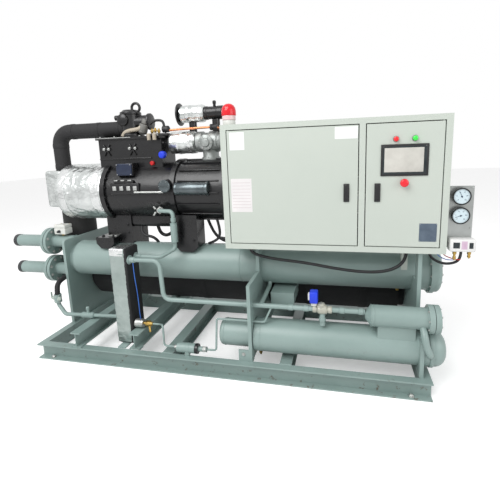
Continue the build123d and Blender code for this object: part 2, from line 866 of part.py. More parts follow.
# Vapour pipe from the compressor's casting down to the exchanger, with a thicker sleeve
start_x, riser_x, turn_x = vapour_x
start_y, riser_y, turn_y = vapour_y
start_z, riser_bottom, turn_z = vapour_z
vapour_pipe = pipe(
    [
        (start_x, compressor_y, start_z),
        (start_x, start_y, start_z),
        (riser_x, riser_y, start_z),
        (riser_x, riser_y, riser_bottom),
        (turn_x, turn_y, turn_z),
        (exchanger_right, rear_port_y, upper_port_z),
    ],
    vapour_pipe_radius, vapour_bend,
)
vapour_pipe += rod_z(sleeve_bottom, sleeve_top, riser_x, riser_y, sleeve_radius)
save(vapour_pipe - casting_space, "vapour_pipe")

# Small valve at the exchanger's lower right, and the small liquid line with its drier
head_end = exchanger_right + small_valve_head_length
body_start = head_end + small_valve_neck_length
body_end = body_start + small_valve_body
half_body = small_valve_body / 2
small_valve = rod_x(exchanger_right, head_end, front_port_y, lower_port_z, small_valve_head_radius)
small_valve += rod_x(head_end, body_start, front_port_y, lower_port_z, small_valve_neck_radius)
small_valve += block(
    body_start, body_end, front_port_y - half_body, front_port_y + half_body,
    lower_port_z - half_body, lower_port_z + half_body,
)
save(small_valve, "small_liquid_valve")
small_line = pipe(
    [
        (body_end, front_port_y, lower_port_z),
        (body_end + small_valve_body, front_port_y, lower_port_z),
        (small_drop_x, small_drier_y, small_drop_top),
        (small_drop_x, small_drier_y, small_drier_z),
        (small_drier_start, small_drier_y, small_drier_z),
    ],
    small_pipe_radius, small_bend,
)
small_line += rod_x(small_drier_start, small_drier_end, small_drier_y, small_drier_z, small_drier_radius)
small_line += rod_x(small_drier_end, small_nut_end, small_drier_y, small_drier_z, small_nut_radius)
clip_place = (small_drier_start + small_drier_end - small_clip_width) / 2
small_line += block(
    clip_place, clip_place + small_clip_width, small_clip_front, small_drier_y, beam_height, small_drier_z
)
small_line += pipe(
    [
        (small_nut_end, small_drier_y, small_drier_z),
        (small_riser_x, small_drier_y, small_drier_z),
        (small_riser_x, small_run_y, small_run_z),
        (small_join_x - small_valve_body, small_run_y, small_run_z),
        (small_join_x, liquid_pipe_y, liquid_pipe_z),
    ],
    small_pipe_radius, small_bend,
)
save(small_line - liquid_space, "small_liquid_line")

# Feed line from the exchanger's lower left, with its valve and its upright end
feed_pipe = pipe(
    [
        (exchanger_place, rear_port_y, feed_start_z),
        (feed_turn_x, rear_port_y, feed_end_z),
        (feed_riser_x, feed_riser_y, feed_riser_bottom),
        (feed_riser_x, feed_riser_y, feed_riser_top),
    ],
    feed_pipe_radius, feed_bend,
)
feed_pipe += rod_z(feed_nut_bottom, feed_riser_top, feed_riser_x, feed_riser_y, feed_nut_radius)
feed_pipe += rod_x(
    feed_riser_x - feed_spindle_length, feed_riser_x, feed_riser_y,
    (feed_nut_bottom + feed_riser_top) / 2, feed_spindle_radius,
)
feed_pipe += rod_x(
    feed_valve_place, feed_valve_place + feed_valve_length, rear_port_y, feed_valve_z, feed_valve_radius
)
feed_pipe += rod_z(
    feed_valve_z, feed_stem_top, feed_valve_place + feed_valve_length / 2, rear_port_y, feed_stem_radius
)
save(feed_pipe - exchanger, "feed_pipe")

# Control cabinet, hollow, with a bracket under it
cabinet_end = cabinet_place + cabinet_width
cabinet_rear = cabinet_front + cabinet_depth
cabinet_top = cabinet_bottom + cabinet_height
door_bottom = cabinet_bottom + door_bottom_inset
door_top = door_bottom + door_height
left_door_place = cabinet_place + left_door_inset
left_door_end = left_door_place + left_door_width
right_door_place = left_door_end + door_post
right_door_end = right_door_place + right_door_width
cabinet = block(cabinet_place, cabinet_end, cabinet_front, cabinet_rear, cabinet_bottom, cabinet_top)
cabinet -= block(
    cabinet_place + cabinet_sheet, cabinet_end - cabinet_sheet,
    cabinet_front + cabinet_sheet, cabinet_rear - cabinet_sheet,
    cabinet_bottom + cabinet_sheet, cabinet_top - cabinet_sheet,
)


def doorway(x0, x1, extra, y0, y1):
    """The space of one doorway, larger than its door by the gap and an extra amount."""
    grow = door_gap + extra
    return block(x0 - grow, x1 + grow, y0, y1, door_bottom - grow, door_top + grow)


for x0, x1 in ((left_door_place, left_door_end), (right_door_place, right_door_end)):
    cabinet += doorway(x0, x1, cabinet_sheet, cabinet_front, cabinet_front + door_return_depth)
for x0, x1 in ((left_door_place, left_door_end), (right_door_place, right_door_end)):
    cabinet -= doorway(x0, x1, 0, cabinet_front - 1, cabinet_front + door_return_depth + 1)
bracket = block(
    bracket_place, bracket_place + bracket_width, bracket_front, bracket_front + bracket_depth,
    condenser_z, cabinet_bottom,
)
cabinet += bracket - condenser_space
hinge_y = cabinet_front + hinge_inset
left_hinge_x = left_door_place + hinge_inset
right_hinge_x = right_door_end - hinge_inset
pin_reach = door_gap + hinge_block_height - pin_end_gap
for x in (left_hinge_x, right_hinge_x):
    low = door_bottom - door_gap
    high = door_top + door_gap
    cabinet += rod_z(low, low + pin_reach, x, hinge_y, hinge_pin_radius)
    cabinet += rod_z(high - pin_reach, high, x, hinge_y, hinge_pin_radius)
save(cabinet, "cabinet_body")


def door(x0, x1, hinge_x, hinge_side):
    """A sheet door with returned edges and two hinge blocks on one side."""
    leaf = block(x0, x1, cabinet_front, cabinet_front + door_depth, door_bottom, door_top)
    leaf -= block(
        x0 + door_sheet, x1 - door_sheet,
        cabinet_front + door_sheet, cabinet_front + door_depth + 1,
        door_bottom + door_sheet, door_top - door_sheet,
    )
    if hinge_side < 0:
        block_start = x0
    else:
        block_start = x1 - hinge_block
    for z in (door_bottom, door_top - hinge_block_height):
        leaf += block(
            block_start, block_start + hinge_block,
            cabinet_front, cabinet_front + hinge_block, z, z + hinge_block_height,
        )
        leaf -= rod_z(
            z - 1, z + hinge_block_height + 1, hinge_x, hinge_y, hinge_pin_radius + hinge_running
        )
    return leaf


def door_handle(x0):
    """A flat lock with a swing handle on a door's face."""
    return block(
        x0, x0 + lock_width, cabinet_front - lock_depth, cabinet_front, lock_z, lock_z + lock_height
    )


save(door(left_door_place, left_door_end, left_hinge_x, -1), "left_door")
save(door(right_door_place, right_door_end, right_hinge_x, 1), "right_door")
save(door_handle(left_door_end - lock_inset - lock_width), "left_door_handle")
save(door_handle(right_door_place + lock_inset), "right_door_handle")

# Touch screen and emergency stop button on the right door
screen_start = right_door_place + screen_inset
touch_screen = block(
    screen_start, screen_start + screen_width, cabinet_front - screen_depth, cabinet_front,
    screen_z, screen_z + screen_height,
)
stop_x = right_door_place + stop_inset
stop_face = cabinet_front - stop_depth
stop_button = rod_y(stop_face, cabinet_front, stop_x, stop_z, stop_stem_radius)
stop_button += rod_y(stop_face, stop_face + stop_depth / 2, stop_x, stop_z, stop_radius)
save(touch_screen, "touch_screen")
save(stop_button, "stop_button")

# Beacon on the cabinet's roof
beacon_x = cabinet_place + beacon_inset
base_top = cabinet_top + beacon_base_height
beacon = rod_z(cabinet_top, base_top, beacon_x, beacon_y, beacon_base_radius)
dome = rod_z(base_top, base_top + beacon_dome_height, beacon_x, beacon_y, beacon_dome_radius)
beacon += fillet(dome.edges().sort_by(Axis.Z)[-1], beacon_dome_radius * 0.7)
save(beacon, "beacon")

# Mounting plate with rows of switchgear, on standoffs at the cabinet's rear wall
wall_face = cabinet_rear - cabinet_sheet
plate_face = wall_face - mounting_plate_gap
plate_start = cabinet_place + mounting_plate_inset
plate_end = cabinet_end - mounting_plate_inset
plate_bottom = cabinet_bottom + mounting_plate_inset
plate_top = cabinet_top - mounting_plate_inset
mounting_plate = block(
    plate_start, plate_end, plate_face - mounting_plate_sheet, plate_face, plate_bottom, plate_top
)
for x in (plate_start + mounting_plate_inset, plate_end - mounting_plate_inset):
    for z in (plate_bottom + mounting_plate_inset, plate_top - mounting_plate_inset):
        mounting_plate += rod_y(plate_face, wall_face, x, z, standoff_radius)
gear_rear = plate_face - mounting_plate_sheet
row_pitch = (plate_top - plate_bottom) / switchgear_rows
column_pitch = (plate_end - plate_start) / switchgear_columns
for row in range(switchgear_rows):
    gear_bottom = plate_bottom + row_pitch * row + (row_pitch - switchgear_height) / 2
    for column in range(switchgear_columns):
        gear_start = plate_start + column_pitch * column + (column_pitch - switchgear_width) / 2
        mounting_plate += block(
            gear_start, gear_start + switchgear_width, gear_rear - switchgear_depth, gear_rear,
            gear_bottom, gear_bottom + switchgear_height,
        )
save(mounting_plate, "mounting_plate")

# Gauge panel on the cabinet's right side, with two gauges and a pressure controller
panel_rear = panel_front + panel_sheet
gauge_panel = block(
    cabinet_end, cabinet_end + panel_width, panel_front, panel_rear, panel_tail_bottom, panel_top
)
gauge_panel += block(
    cabinet_end, cabinet_end + panel_sheet, panel_front, panel_front + panel_return,
    panel_tail_bottom, panel_top,
)
save(gauge_panel, "gauge_panel")
gauge_x = cabinet_end + panel_width / 2
for name, z in (("upper_gauge", gauge_places[0]), ("lower_gauge", gauge_places[1])):
    save(rod_y(panel_front - gauge_depth, panel_front, gauge_x, z, gauge_radius), name)
controller_start = cabinet_end + controller_gap
pressure_controller = block(
    controller_start, controller_start + controller_width, panel_front - controller_depth, panel_front,
    controller_bottom, controller_bottom + controller_height,
)
save(fillet(pressure_controller.edges().filter_by(Axis.Y), 6), "pressure_controller")


def cord(route, radius):
    """A loose cable as straight runs joined by tangent arcs."""
    places = [Vector(left + x, front + y, z) for x, y, z in route]
    bends = []
    for before, place, after in zip(places, places[1:], places[2:]):
        arriving = place - before
        leaving = after - place
        half_turn = math.radians(arriving.get_angle(leaving)) / 2
        shorter = min(arriving.length, leaving.length)
        bends.append(0.45 * shorter / math.tan(half_turn))
    path = FilletPolyline(*places, radius=bends)
    section = Plane(origin=path @ 0, z_dir=path % 0) * Circle(radius)
    print(round(path.length), "mm long, bends of", [round(bend) for bend in bends])
    return sweep(section, path=path)


save(cord(cabinet_cable_route, cabinet_cable_radius), "cabinet_cable")
save(cord(controller_cable_route, controller_cable_radius), "controller_cable")
save(cord(sensor_wire_route, sensor_wire_radius), "sensor_wire")
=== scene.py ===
import math
import random

import bpy
from mathutils import Matrix, Vector


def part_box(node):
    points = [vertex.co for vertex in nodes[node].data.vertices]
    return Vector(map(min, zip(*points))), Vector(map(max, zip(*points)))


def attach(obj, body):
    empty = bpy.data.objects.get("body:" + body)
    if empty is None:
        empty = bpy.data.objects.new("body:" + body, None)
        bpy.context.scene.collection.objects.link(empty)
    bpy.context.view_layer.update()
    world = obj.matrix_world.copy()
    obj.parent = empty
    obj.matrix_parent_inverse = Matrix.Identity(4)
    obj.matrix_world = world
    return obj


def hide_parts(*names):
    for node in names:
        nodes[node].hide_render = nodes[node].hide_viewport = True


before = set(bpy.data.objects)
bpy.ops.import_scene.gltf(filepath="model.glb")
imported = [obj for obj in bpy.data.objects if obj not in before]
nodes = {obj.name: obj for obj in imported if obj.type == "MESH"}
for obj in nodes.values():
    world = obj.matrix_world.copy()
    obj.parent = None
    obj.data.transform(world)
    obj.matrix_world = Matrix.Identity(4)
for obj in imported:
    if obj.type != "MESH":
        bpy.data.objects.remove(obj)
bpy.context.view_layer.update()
skid_low, skid_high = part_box("front_rail")
corner = Vector((skid_low[0], skid_low[1], 0.0))


def spot(along, across, height):
    """A place measured from the skid's left front corner on the floor."""
    return corner + Vector((along, across, height))


# The floor and the daylight. The unit stands on a plain pale floor in a white surrounding,
# under two broad lamps, one high in front of it and one at its right.
floor_size = 40.0
floor_colour = (0.86, 0.86, 0.86, 1.0)
key_place = (-1.6, -3.6, 4.6)
key_aim = (0.0, 0.0, 0.7)
key_size = 3.6
key_power = 235.0
fill_place = (4.4, -2.4, 2.4)
fill_size = 3.0
fill_power = 60.0
surround_light = 0.62

scene = bpy.context.scene
scene.view_settings.view_transform = "Standard"
bpy.ops.object.select_all(action="DESELECT")
bpy.ops.mesh.primitive_plane_add(size=floor_size, location=(0, 0, 0))
floor = bpy.context.object
floor.name = "pale_floor"
floor_material = bpy.data.materials.new("pale_floor")
floor_material.use_nodes = True
tree = floor_material.node_tree
floor_shader = tree.nodes["Principled BSDF"]
floor_shader.inputs["Base Color"].default_value = floor_colour
floor_shader.inputs["Roughness"].default_value = 0.9
floor_rays = tree.nodes.new("ShaderNodeLightPath")
floor_glow = tree.nodes.new("ShaderNodeMath")
floor_glow.operation = "MULTIPLY"
floor_glow.inputs[1].default_value = 0.34
tree.links.new(floor_rays.outputs["Is Camera Ray"], floor_glow.inputs[0])
floor_shader.inputs["Emission Color"].default_value = (1, 1, 1, 1)
tree.links.new(floor_glow.outputs["Value"], floor_shader.inputs["Emission Strength"])
floor.data.materials.append(floor_material)

surround = bpy.data.worlds.new("white_surround")
scene.world = surround
surround.use_nodes = True
tree = surround.node_tree
sky = tree.nodes["Background"]
sky.inputs["Color"].default_value = (1, 1, 1, 1)
sky_rays = tree.nodes.new("ShaderNodeLightPath")
seen = tree.nodes.new("ShaderNodeMath")
seen.operation = "MAXIMUM"
tree.links.new(sky_rays.outputs["Is Camera Ray"], seen.inputs[0])
tree.links.new(sky_rays.outputs["Is Glossy Ray"], seen.inputs[1])
seen_through = tree.nodes.new("ShaderNodeMath")
seen_through.operation = "MAXIMUM"
tree.links.new(seen.outputs["Value"], seen_through.inputs[0])
tree.links.new(sky_rays.outputs["Is Transmission Ray"], seen_through.inputs[1])
sky_level = tree.nodes.new("ShaderNodeMapRange")
sky_level.inputs["To Min"].default_value = surround_light
sky_level.inputs["To Max"].default_value = 1.0
tree.links.new(seen_through.outputs["Value"], sky_level.inputs["Value"])
tree.links.new(sky_level.outputs["Result"], sky.inputs["Strength"])


def daylight(name, place, aim, size, power):
    """A broad square lamp that faces a place on the unit."""
    bpy.ops.object.light_add(type="AREA", location=place)
    lamp = bpy.context.object
    lamp.name = name
    lamp.data.size = size
    lamp.data.energy = power
    lamp.rotation_euler = (Vector(aim) - Vector(place)).to_track_quat("-Z", "Y").to_euler()


daylight("front_daylight", key_place, key_aim, key_size, key_power)
daylight("right_daylight", fill_place, key_aim, fill_size, fill_power)

# The camera stands right of the middle, a little above the cabinet's lower edge, and looks left.
# Its lens is wide, and its shift keeps the unit where it lies in the frame.
camera_place = (0.7411, -2.2383, 1.2892)
camera_yaw = 13.14
camera_pitch = -10.17
camera_roll = 1.98
camera_lens = 25.92
camera_shift_x = -0.0186
camera_shift_y = -0.0668
bpy.ops.object.camera_add(location=camera_place)
camera = bpy.context.object
camera.name = "photograph_view"
camera.data.lens = camera_lens
camera.data.sensor_width = 36.0
camera.data.shift_x = camera_shift_x
camera.data.shift_y = camera_shift_y
turn = Matrix.Rotation(math.radians(camera_yaw), 4, "Z")
tilt = Matrix.Rotation(math.radians(camera_pitch), 4, "X")
roll = Matrix.Rotation(math.radians(camera_roll), 4, "Y")
upright = Matrix.Rotation(math.radians(90), 4, "X")
camera.matrix_world = Matrix.Translation(camera_place) @ turn @ tilt @ roll @ upright
scene.camera = camera


# The loose cables. A black cable bundle sags under the cabinet, a black lead comes down from the
# pressure controller, and a thin blue sensor wire drops beside the heat exchanger.
def worn_finish(name, colour, second, spread, roughness, grain=60.0, bump=0.08, metal=0.0, contrast=0.5):
    """A finish whose colour and gloss drift over the surface, with a fine grain in its relief."""
    material = bpy.data.materials.new(name)
    material.use_nodes = True
    tree = material.node_tree
    shader = tree.nodes["Principled BSDF"]
    shader.inputs["Metallic"].default_value = metal
    place = tree.nodes.new("ShaderNodeTexCoord")
    drift = tree.nodes.new("ShaderNodeTexNoise")
    drift.inputs["Scale"].default_value = spread
    drift.inputs["Detail"].default_value = 6.0
    drift.inputs["Roughness"].default_value = 0.62
    tree.links.new(place.outputs["Object"], drift.inputs["Vector"])
    band = tree.nodes.new("ShaderNodeValToRGB")
    band.color_ramp.elements[0].position = 0.5 - contrast / 2
    band.color_ramp.elements[1].position = 0.5 + contrast / 2
    band.color_ramp.elements[0].color = (*colour, 1)
    band.color_ramp.elements[1].color = (*second, 1)
    tree.links.new(drift.outputs["Fac"], band.inputs["Fac"])
    tree.links.new(band.outputs["Color"], shader.inputs["Base Color"])
    gloss = tree.nodes.new("ShaderNodeMapRange")
    gloss.inputs["To Min"].default_value = roughness - 0.08
    gloss.inputs["To Max"].default_value = roughness + 0.1
    tree.links.new(drift.outputs["Fac"], gloss.inputs["Value"])
    tree.links.new(gloss.outputs["Result"], shader.inputs["Roughness"])
    relief = tree.nodes.new("ShaderNodeTexNoise")
    relief.inputs["Scale"].default_value = grain
    relief.inputs["Detail"].default_value = 3.0
    tree.links.new(place.outputs["Object"], relief.inputs["Vector"])
    raised = tree.nodes.new("ShaderNodeBump")
    raised.inputs["Strength"].default_value = bump
    raised.inputs["Distance"].default_value = 0.004
    tree.links.new(relief.outputs["Fac"], raised.inputs["Height"])
    tree.links.new(raised.outputs["Normal"], shader.inputs["Normal"])
    return material


def dress(piece, material, body="unit"):
    """Gives a piece its finish and the body it moves with."""
    piece.data.materials.clear()
    piece.data.materials.append(material)
    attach(piece, body)


black_rubber = worn_finish("black_rubber", (0.008, 0.008, 0.009), (0.02, 0.02, 0.022), 9.0, 0.5)
blue_jacket = worn_finish("blue_cable_jacket", (0.02, 0.10, 0.42), (0.03, 0.15, 0.55), 12.0, 0.4)
cabinet_cable_route = (
    (1.403, 0.250, 0.742), (1.403, 0.250, 0.700), (1.450, 0.250, 0.676), (1.560, 0.250, 0.656),
    (1.740, 0.250, 0.640), (1.900, 0.250, 0.612), (2.060, 0.250, 0.596), (2.180, 0.250, 0.604),
    (2.256, 0.250, 0.640), (2.288, 0.250, 0.694), (2.288, 0.250, 0.742),
)
controller_cable_route = (
    (2.537, 0.178, 0.756), (2.537, 0.178, 0.716), (2.516, 0.196, 0.684), (2.470, 0.226, 0.668),
    (2.424, 0.250, 0.684), (2.404, 0.258, 0.712), (2.404, 0.258, 0.742),
)
sensor_wire_route = (
    (0.672, 0.137, 0.6398), (0.684, 0.120, 0.608), (0.690, 0.112, 0.566), (0.697, 0.108, 0.512),
    (0.702, 0.108, 0.458), (0.704, 0.108, 0.404), (0.704, 0.110, 0.350), (0.700, 0.116, 0.304),
    (0.694, 0.131, 0.266),
)


def cable(name, route, radius, material):
    """A loose cable on a smooth line through its route."""
    line = bpy.data.curves.new(name, "CURVE")
    line.dimensions = "3D"
    line.resolution_u = 12
    line.bevel_depth = radius
    line.bevel_resolution = 4
    line.use_fill_caps = True
    spline = line.splines.new("NURBS")
    spline.points.add(len(route) - 1)
    for point, place in zip(spline.points, route):
        point.co = (*spot(*place), 1)
    spline.order_u = 3
    spline.use_endpoint_u = True
    piece = bpy.data.objects.new(name, line)
    scene.collection.objects.link(piece)
    dress(piece, material)
    return piece


cabinet_cable = cable("cabinet_cable_bundle", cabinet_cable_route, 0.009, black_rubber)
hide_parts("cabinet_cable")
controller_cable = cable("controller_lead", controller_cable_route, 0.007, black_rubber)
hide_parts("controller_cable")
sensor_wire = cable("exchanger_sensor_wire", sensor_wire_route, 0.0025, blue_jacket)
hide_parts("sensor_wire")


# The skid. Channels form its outer frame and beams lie across it, all welded and painted
# in the same grey green as the vessels, with dirt and a little rust where the floor is near.
def grey_green_paint(name, rust_height, rust_amount):
    """Satin plant paint that is chipped to rust near a height above the floor."""
    material = worn_finish(name, (0.212, 0.290, 0.272), (0.268, 0.352, 0.334), 3.2, 0.36, 90.0, 0.06)
    tree = material.node_tree
    shader = tree.nodes["Principled BSDF"]
    base = shader.inputs["Base Color"].links[0].from_socket
    place = tree.nodes.new("ShaderNodeTexCoord")
    height = tree.nodes.new("ShaderNodeSeparateXYZ")
    tree.links.new(place.outputs["Object"], height.inputs["Vector"])
    low = tree.nodes.new("ShaderNodeMapRange")
    low.inputs["From Min"].default_value = rust_height
    low.inputs["From Max"].default_value = rust_height * 0.2
    tree.links.new(height.outputs["Z"], low.inputs["Value"])
    chips = tree.nodes.new("ShaderNodeTexNoise")
    chips.inputs["Scale"].default_value = 26.0
    chips.inputs["Detail"].default_value = 8.0
    chips.inputs["Roughness"].default_value = 0.7
    tree.links.new(place.outputs["Object"], chips.inputs["Vector"])
    where = tree.nodes.new("ShaderNodeMapRange")
    where.inputs["From Min"].default_value = 0.58
    where.inputs["From Max"].default_value = 0.66
    where.inputs["To Max"].default_value = rust_amount
    tree.links.new(chips.outputs["Fac"], where.inputs["Value"])
    amount = tree.nodes.new("ShaderNodeMath")
    amount.operation = "MULTIPLY"
    amount.use_clamp = True
    tree.links.new(low.outputs["Result"], amount.inputs[0])
    tree.links.new(where.outputs["Result"], amount.inputs[1])
    mixed = tree.nodes.new("ShaderNodeMix")
    mixed.data_type = "RGBA"
    mixed.inputs["B"].default_value = (0.105, 0.058, 0.032, 1)
    tree.links.new(amount.outputs["Value"], mixed.inputs["Factor"])
    tree.links.new(base, mixed.inputs["A"])
    tree.links.new(mixed.outputs["Result"], shader.inputs["Base Color"])
    return material


skid_paint = grey_green_paint("skid_paint", 0.14, 0.85)
vessel_paint = grey_green_paint("vessel_paint", 0.30, 0.35)
for name in (
    "front_rail", "rear_rail", "left_end_rail", "right_end_rail", "left_cross_beam",
    "right_cross_beam", "raised_left_beam", "raised_middle_beam",
):
    nodes[name].data.materials.clear()
    nodes[name].data.materials.append(skid_paint)


def turned(name, start, towards, profile, sides=48, chamfer=0.0):
    """A turned part, drawn out of a disc in steps of length and radius along its axis."""
    bpy.ops.object.select_all(action="DESELECT")
    reach, radius = profile[0]
    bpy.ops.mesh.primitive_circle_add(
        vertices=sides, radius=radius, fill_type="NGON", location=(0, 0, reach)
    )
    piece = bpy.context.object
    piece.name = name
    bpy.ops.object.mode_set(mode="EDIT")
    bpy.ops.mesh.select_all(action="SELECT")
    for next_reach, next_radius in profile[1:]:
        bpy.ops.mesh.extrude_region_move(TRANSFORM_OT_translate={"value": (0, 0, next_reach - reach)})
        growth = next_radius / radius
        bpy.ops.transform.resize(value=(growth, growth, 1), center_override=(0, 0, next_reach))
        reach, radius = next_reach, next_radius
    bpy.ops.mesh.select_all(action="SELECT")
    bpy.ops.mesh.normals_make_consistent(inside=False)
    bpy.ops.object.mode_set(mode="OBJECT")
    if chamfer > 0:
        soften(piece, chamfer)
    bpy.ops.object.shade_smooth_by_angle(angle=math.radians(32))
    facing = Vector(towards).to_track_quat("Z", "Y").to_matrix().to_4x4()
    piece.matrix_world = Matrix.Translation(start) @ facing @ piece.matrix_world
    bpy.ops.object.transform_apply(location=True, rotation=True, scale=True)
    return piece


def soften(piece, width, segments=2):
    """Rounds a piece's sharp edges."""
    bpy.context.view_layer.objects.active = piece
    rounding = piece.modifiers.new("rounding", "BEVEL")
    rounding.width = width
    rounding.segments = segments
    rounding.limit_method = "ANGLE"
    rounding.angle_limit = math.radians(40)
    bpy.ops.object.modifier_apply(modifier=rounding.name)


def sawn(name, low, high, chamfer=0.0, segments=2):
    """A block between two corners, with its edges eased."""
    bpy.ops.object.select_all(action="DESELECT")
    low, high = Vector(low), Vector(high)
    bpy.ops.mesh.primitive_cube_add(size=1, location=(low + high) / 2)
    piece = bpy.context.object
    piece.name = name
    piece.scale = high - low
    bpy.ops.object.transform_apply(location=True, rotation=True, scale=True)
    if chamfer > 0:
        soften(piece, chamfer, segments)
        bpy.ops.object.shade_smooth_by_angle(angle=math.radians(40))
    return piece


def joined(name, parts):
    """Parts that are fixed together, as one piece."""
    bpy.ops.object.select_all(action="DESELECT")
    for part in parts:
        part.select_set(True)
    bpy.context.view_layer.objects.active = parts[0]
    if len(parts) > 1:
        bpy.ops.object.join()
    parts[0].name = name
    return parts[0]


def bolt(place, towards, size):
    """A hexagon bolt with its washer, seated on a face."""
    washer = turned("washer", place, towards, ((0, size * 1.15), (size * 0.18, size * 1.15)), 14)
    head = turned(
        "head", place, towards,
        ((size * 0.17, size), (size * 0.72, size), (size * 0.85, size * 0.82), (size * 0.85, size * 0.45),
         (size * 1.15, size * 0.45)), 6,
    )
    return [washer, head]


def bolt_ring(centre, towards, ring_radius, count, size, first=0.0):
    """Bolts spaced evenly round a flange."""
    parts = []
    facing = Vector(towards).to_track_quat("Z", "Y")
    for step in range(count):
        angle = first + step * math.tau / count
        offset = Vector((math.cos(angle), math.sin(angle), 0)) * ring_radius
        parts += bolt(Vector(centre) + facing @ offset, towards, size)
    return parts


def weld_ring(name, centre, towards, radius, thickness):
    """A weld bead all round a pipe or vessel."""
    bpy.ops.object.select_all(action="DESELECT")
    bpy.ops.mesh.primitive_torus_add(
        major_radius=radius, minor_radius=thickness, major_segments=64, minor_segments=8
    )
    bead = bpy.context.object
    bead.name = name
    ripple = bpy.data.textures.new(name, "CLOUDS")
    ripple.noise_scale = thickness * 1.6
    wave = bead.modifiers.new("ripple", "DISPLACE")
    wave.texture = ripple
    wave.strength = thickness * 0.5
    bpy.ops.object.modifier_apply(modifier=wave.name)
    bpy.ops.object.shade_smooth_by_angle(angle=math.radians(60))
    facing = Vector(towards).to_track_quat("Z", "Y").to_matrix().to_4x4()
    bead.matrix_world = Matrix.Translation(centre) @ facing
    bpy.ops.object.transform_apply(location=True, rotation=True, scale=True)
    return bead


zinc = worn_finish("zinc_plated_steel", (0.40, 0.41, 0.40), (0.56, 0.57, 0.55), 30.0, 0.35, 160.0, 0.1, 0.85)
left_way = Vector((-1, 0, 0))
right_way = Vector((1, 0, 0))
front_way = Vector((0, -1, 0))
rear_way = Vector((0, 1, 0))
up_way = Vector((0, 0, 1))
anchor_inset_x = 0.1
anchor_inset_y = 0.02
flange_thickness = 0.008
skid_length = skid_high[0] - skid_low[0]
skid_depth = -2 * skid_low[1]
anchors = []
for along in (anchor_inset_x, skid_length - anchor_inset_x):
    for across in (anchor_inset_y, skid_depth - anchor_inset_y):
        anchors += bolt(spot(along, across, flange_thickness), up_way, 0.013)
dress(joined("anchor_nuts", anchors), zinc)

# Weld beads along the joints between the beams and the rails, and the raised beams' end plates.
bead_radius = 0.0035
seams = []
for name in ("left_cross_beam", "right_cross_beam"):
    low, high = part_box(name)
    for across in (low[1], high[1]):
        seams.append(
            turned("bead", (low[0], across, high[2]), right_way,
                   ((0, bead_radius), (high[0] - low[0], bead_radius)), 8)
        )
for name in ("raised_left_beam", "raised_middle_beam"):
    low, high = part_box(name)
    for along in (low[0], high[0]):
        for across in (max(low[1], skid_low[1] + 0.004), -skid_low[1] - 0.046):
            seams.append(
                turned("bead", (along, across, low[2]), rear_way, ((0, bead_radius), (0.04, bead_radius)), 8)
            )
dress(joined("skid_weld_beads", seams), skid_paint)


# The support plates. Three thick plates stand on the skid and hold the vessels in round cut-outs.
# The middle one has a small foot bolted through the rail, and all are welded down along their base.
for name in ("left_support_plate", "middle_support_plate", "right_support_plate"):
    nodes[name].data.materials.clear()
    nodes[name].data.materials.append(vessel_paint)
plate_beads = []
for name in ("left_support_plate", "middle_support_plate", "right_support_plate"):
    low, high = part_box(name)
    face = high[0]
    for across, reach in ((low[1] + 0.001, 0.007 if name == "middle_support_plate" else 0.006),):
        plate_beads.append(
            turned("bead", (face, max(across, skid_low[1] + 0.001), low[2]), rear_way,
                   ((0, 0.004), (0.04, 0.004)), 8)
        )
    rear_face = -skid_low[1] - 0.046
    plate_beads.append(
        turned("bead", (face, rear_face, low[2]), rear_way, ((0, 0.004), (0.016 + reach, 0.004)), 8)
    )
dress(joined("plate_weld_beads", plate_beads), vessel_paint)
middle_low, middle_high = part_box("middle_support_plate")
foot_bolt = bolt(
    (middle_low[0] + 0.03, middle_low[1], middle_low[2] + 0.045), front_way, 0.009
)
dress(joined("middle_plate_foot_bolt", foot_bolt), zinc)


# The condenser. A long steel shell under the compressor and the cabinet, with a tube sheet and
# a bolted cover at its right end, welded all round at its left neck, and a relief valve on top.
for name in ("condenser_shell", "subcooler_vessel", "filter_drier", "filter_drier_cover"):
    nodes[name].data.materials.clear()
    nodes[name].data.materials.append(vessel_paint)
brass = worn_finish("brass", (0.42, 0.27, 0.07), (0.55, 0.38, 0.12), 40.0, 0.3, 220.0, 0.06, 0.95)
condenser_centre = spot(0, 0.460, 0.561)
condenser_radius = 0.125
cover_low, cover_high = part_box("condenser_cover")
for name in ("condenser_cover", "subcooler_head"):
    nodes[name].data.materials.clear()
    nodes[name].data.materials.append(vessel_paint)


def on_condenser(along, reach=0.0):
    """A place along the condenser's axis, or above it."""
    return condenser_centre + Vector((along, 0, reach))


shell_welds = [
    weld_ring("weld", on_condenser(0.062), right_way, condenser_radius - 0.001, 0.0035),
    weld_ring("weld", on_condenser(1.30), right_way, condenser_radius, 0.0022),
    weld_ring("weld", on_condenser(2.438), right_way, condenser_radius, 0.0045),
    weld_ring("weld", on_condenser(0.0235), right_way, 0.105, 0.004),
]
dress(joined("condenser_welds", shell_welds), vessel_paint)
cover_bolts = bolt_ring(
    (cover_high[0] - 0.0008, condenser_centre.y, condenser_centre.z), right_way, 0.098, 12, 0.0085
)
cover_bolts += bolt_ring(on_condenser(2.440), left_way, 0.1335, 12, 0.006)
dress(joined("condenser_cover_bolts", cover_bolts), zinc)
relief_parts = [
    turned("stub", on_condenser(1.86, condenser_radius - 0.004), up_way,
           ((0, 0.014), (0.030, 0.014), (0.030, 0.019), (0.050, 0.019)), 24, 0.001),
    turned("nut", on_condenser(1.86, condenser_radius + 0.046), up_way, ((0, 0.021), (0.014, 0.021)), 6, 0.001),
]
dress(joined("relief_stub", relief_parts), brass)
drain_parts = [
    turned("socket", condenser_centre + Vector((2.28, 0.02, -condenser_radius + 0.004)), -up_way,
           ((0, 0.014), (0.020, 0.014)), 20, 0.001),
    turned("plug", condenser_centre + Vector((2.28, 0.02, -condenser_radius - 0.015)), -up_way,
           ((0, 0.010), (0.012, 0.010)), 6, 0.001),
]
dress(joined("condenser_drain", drain_parts), brass)


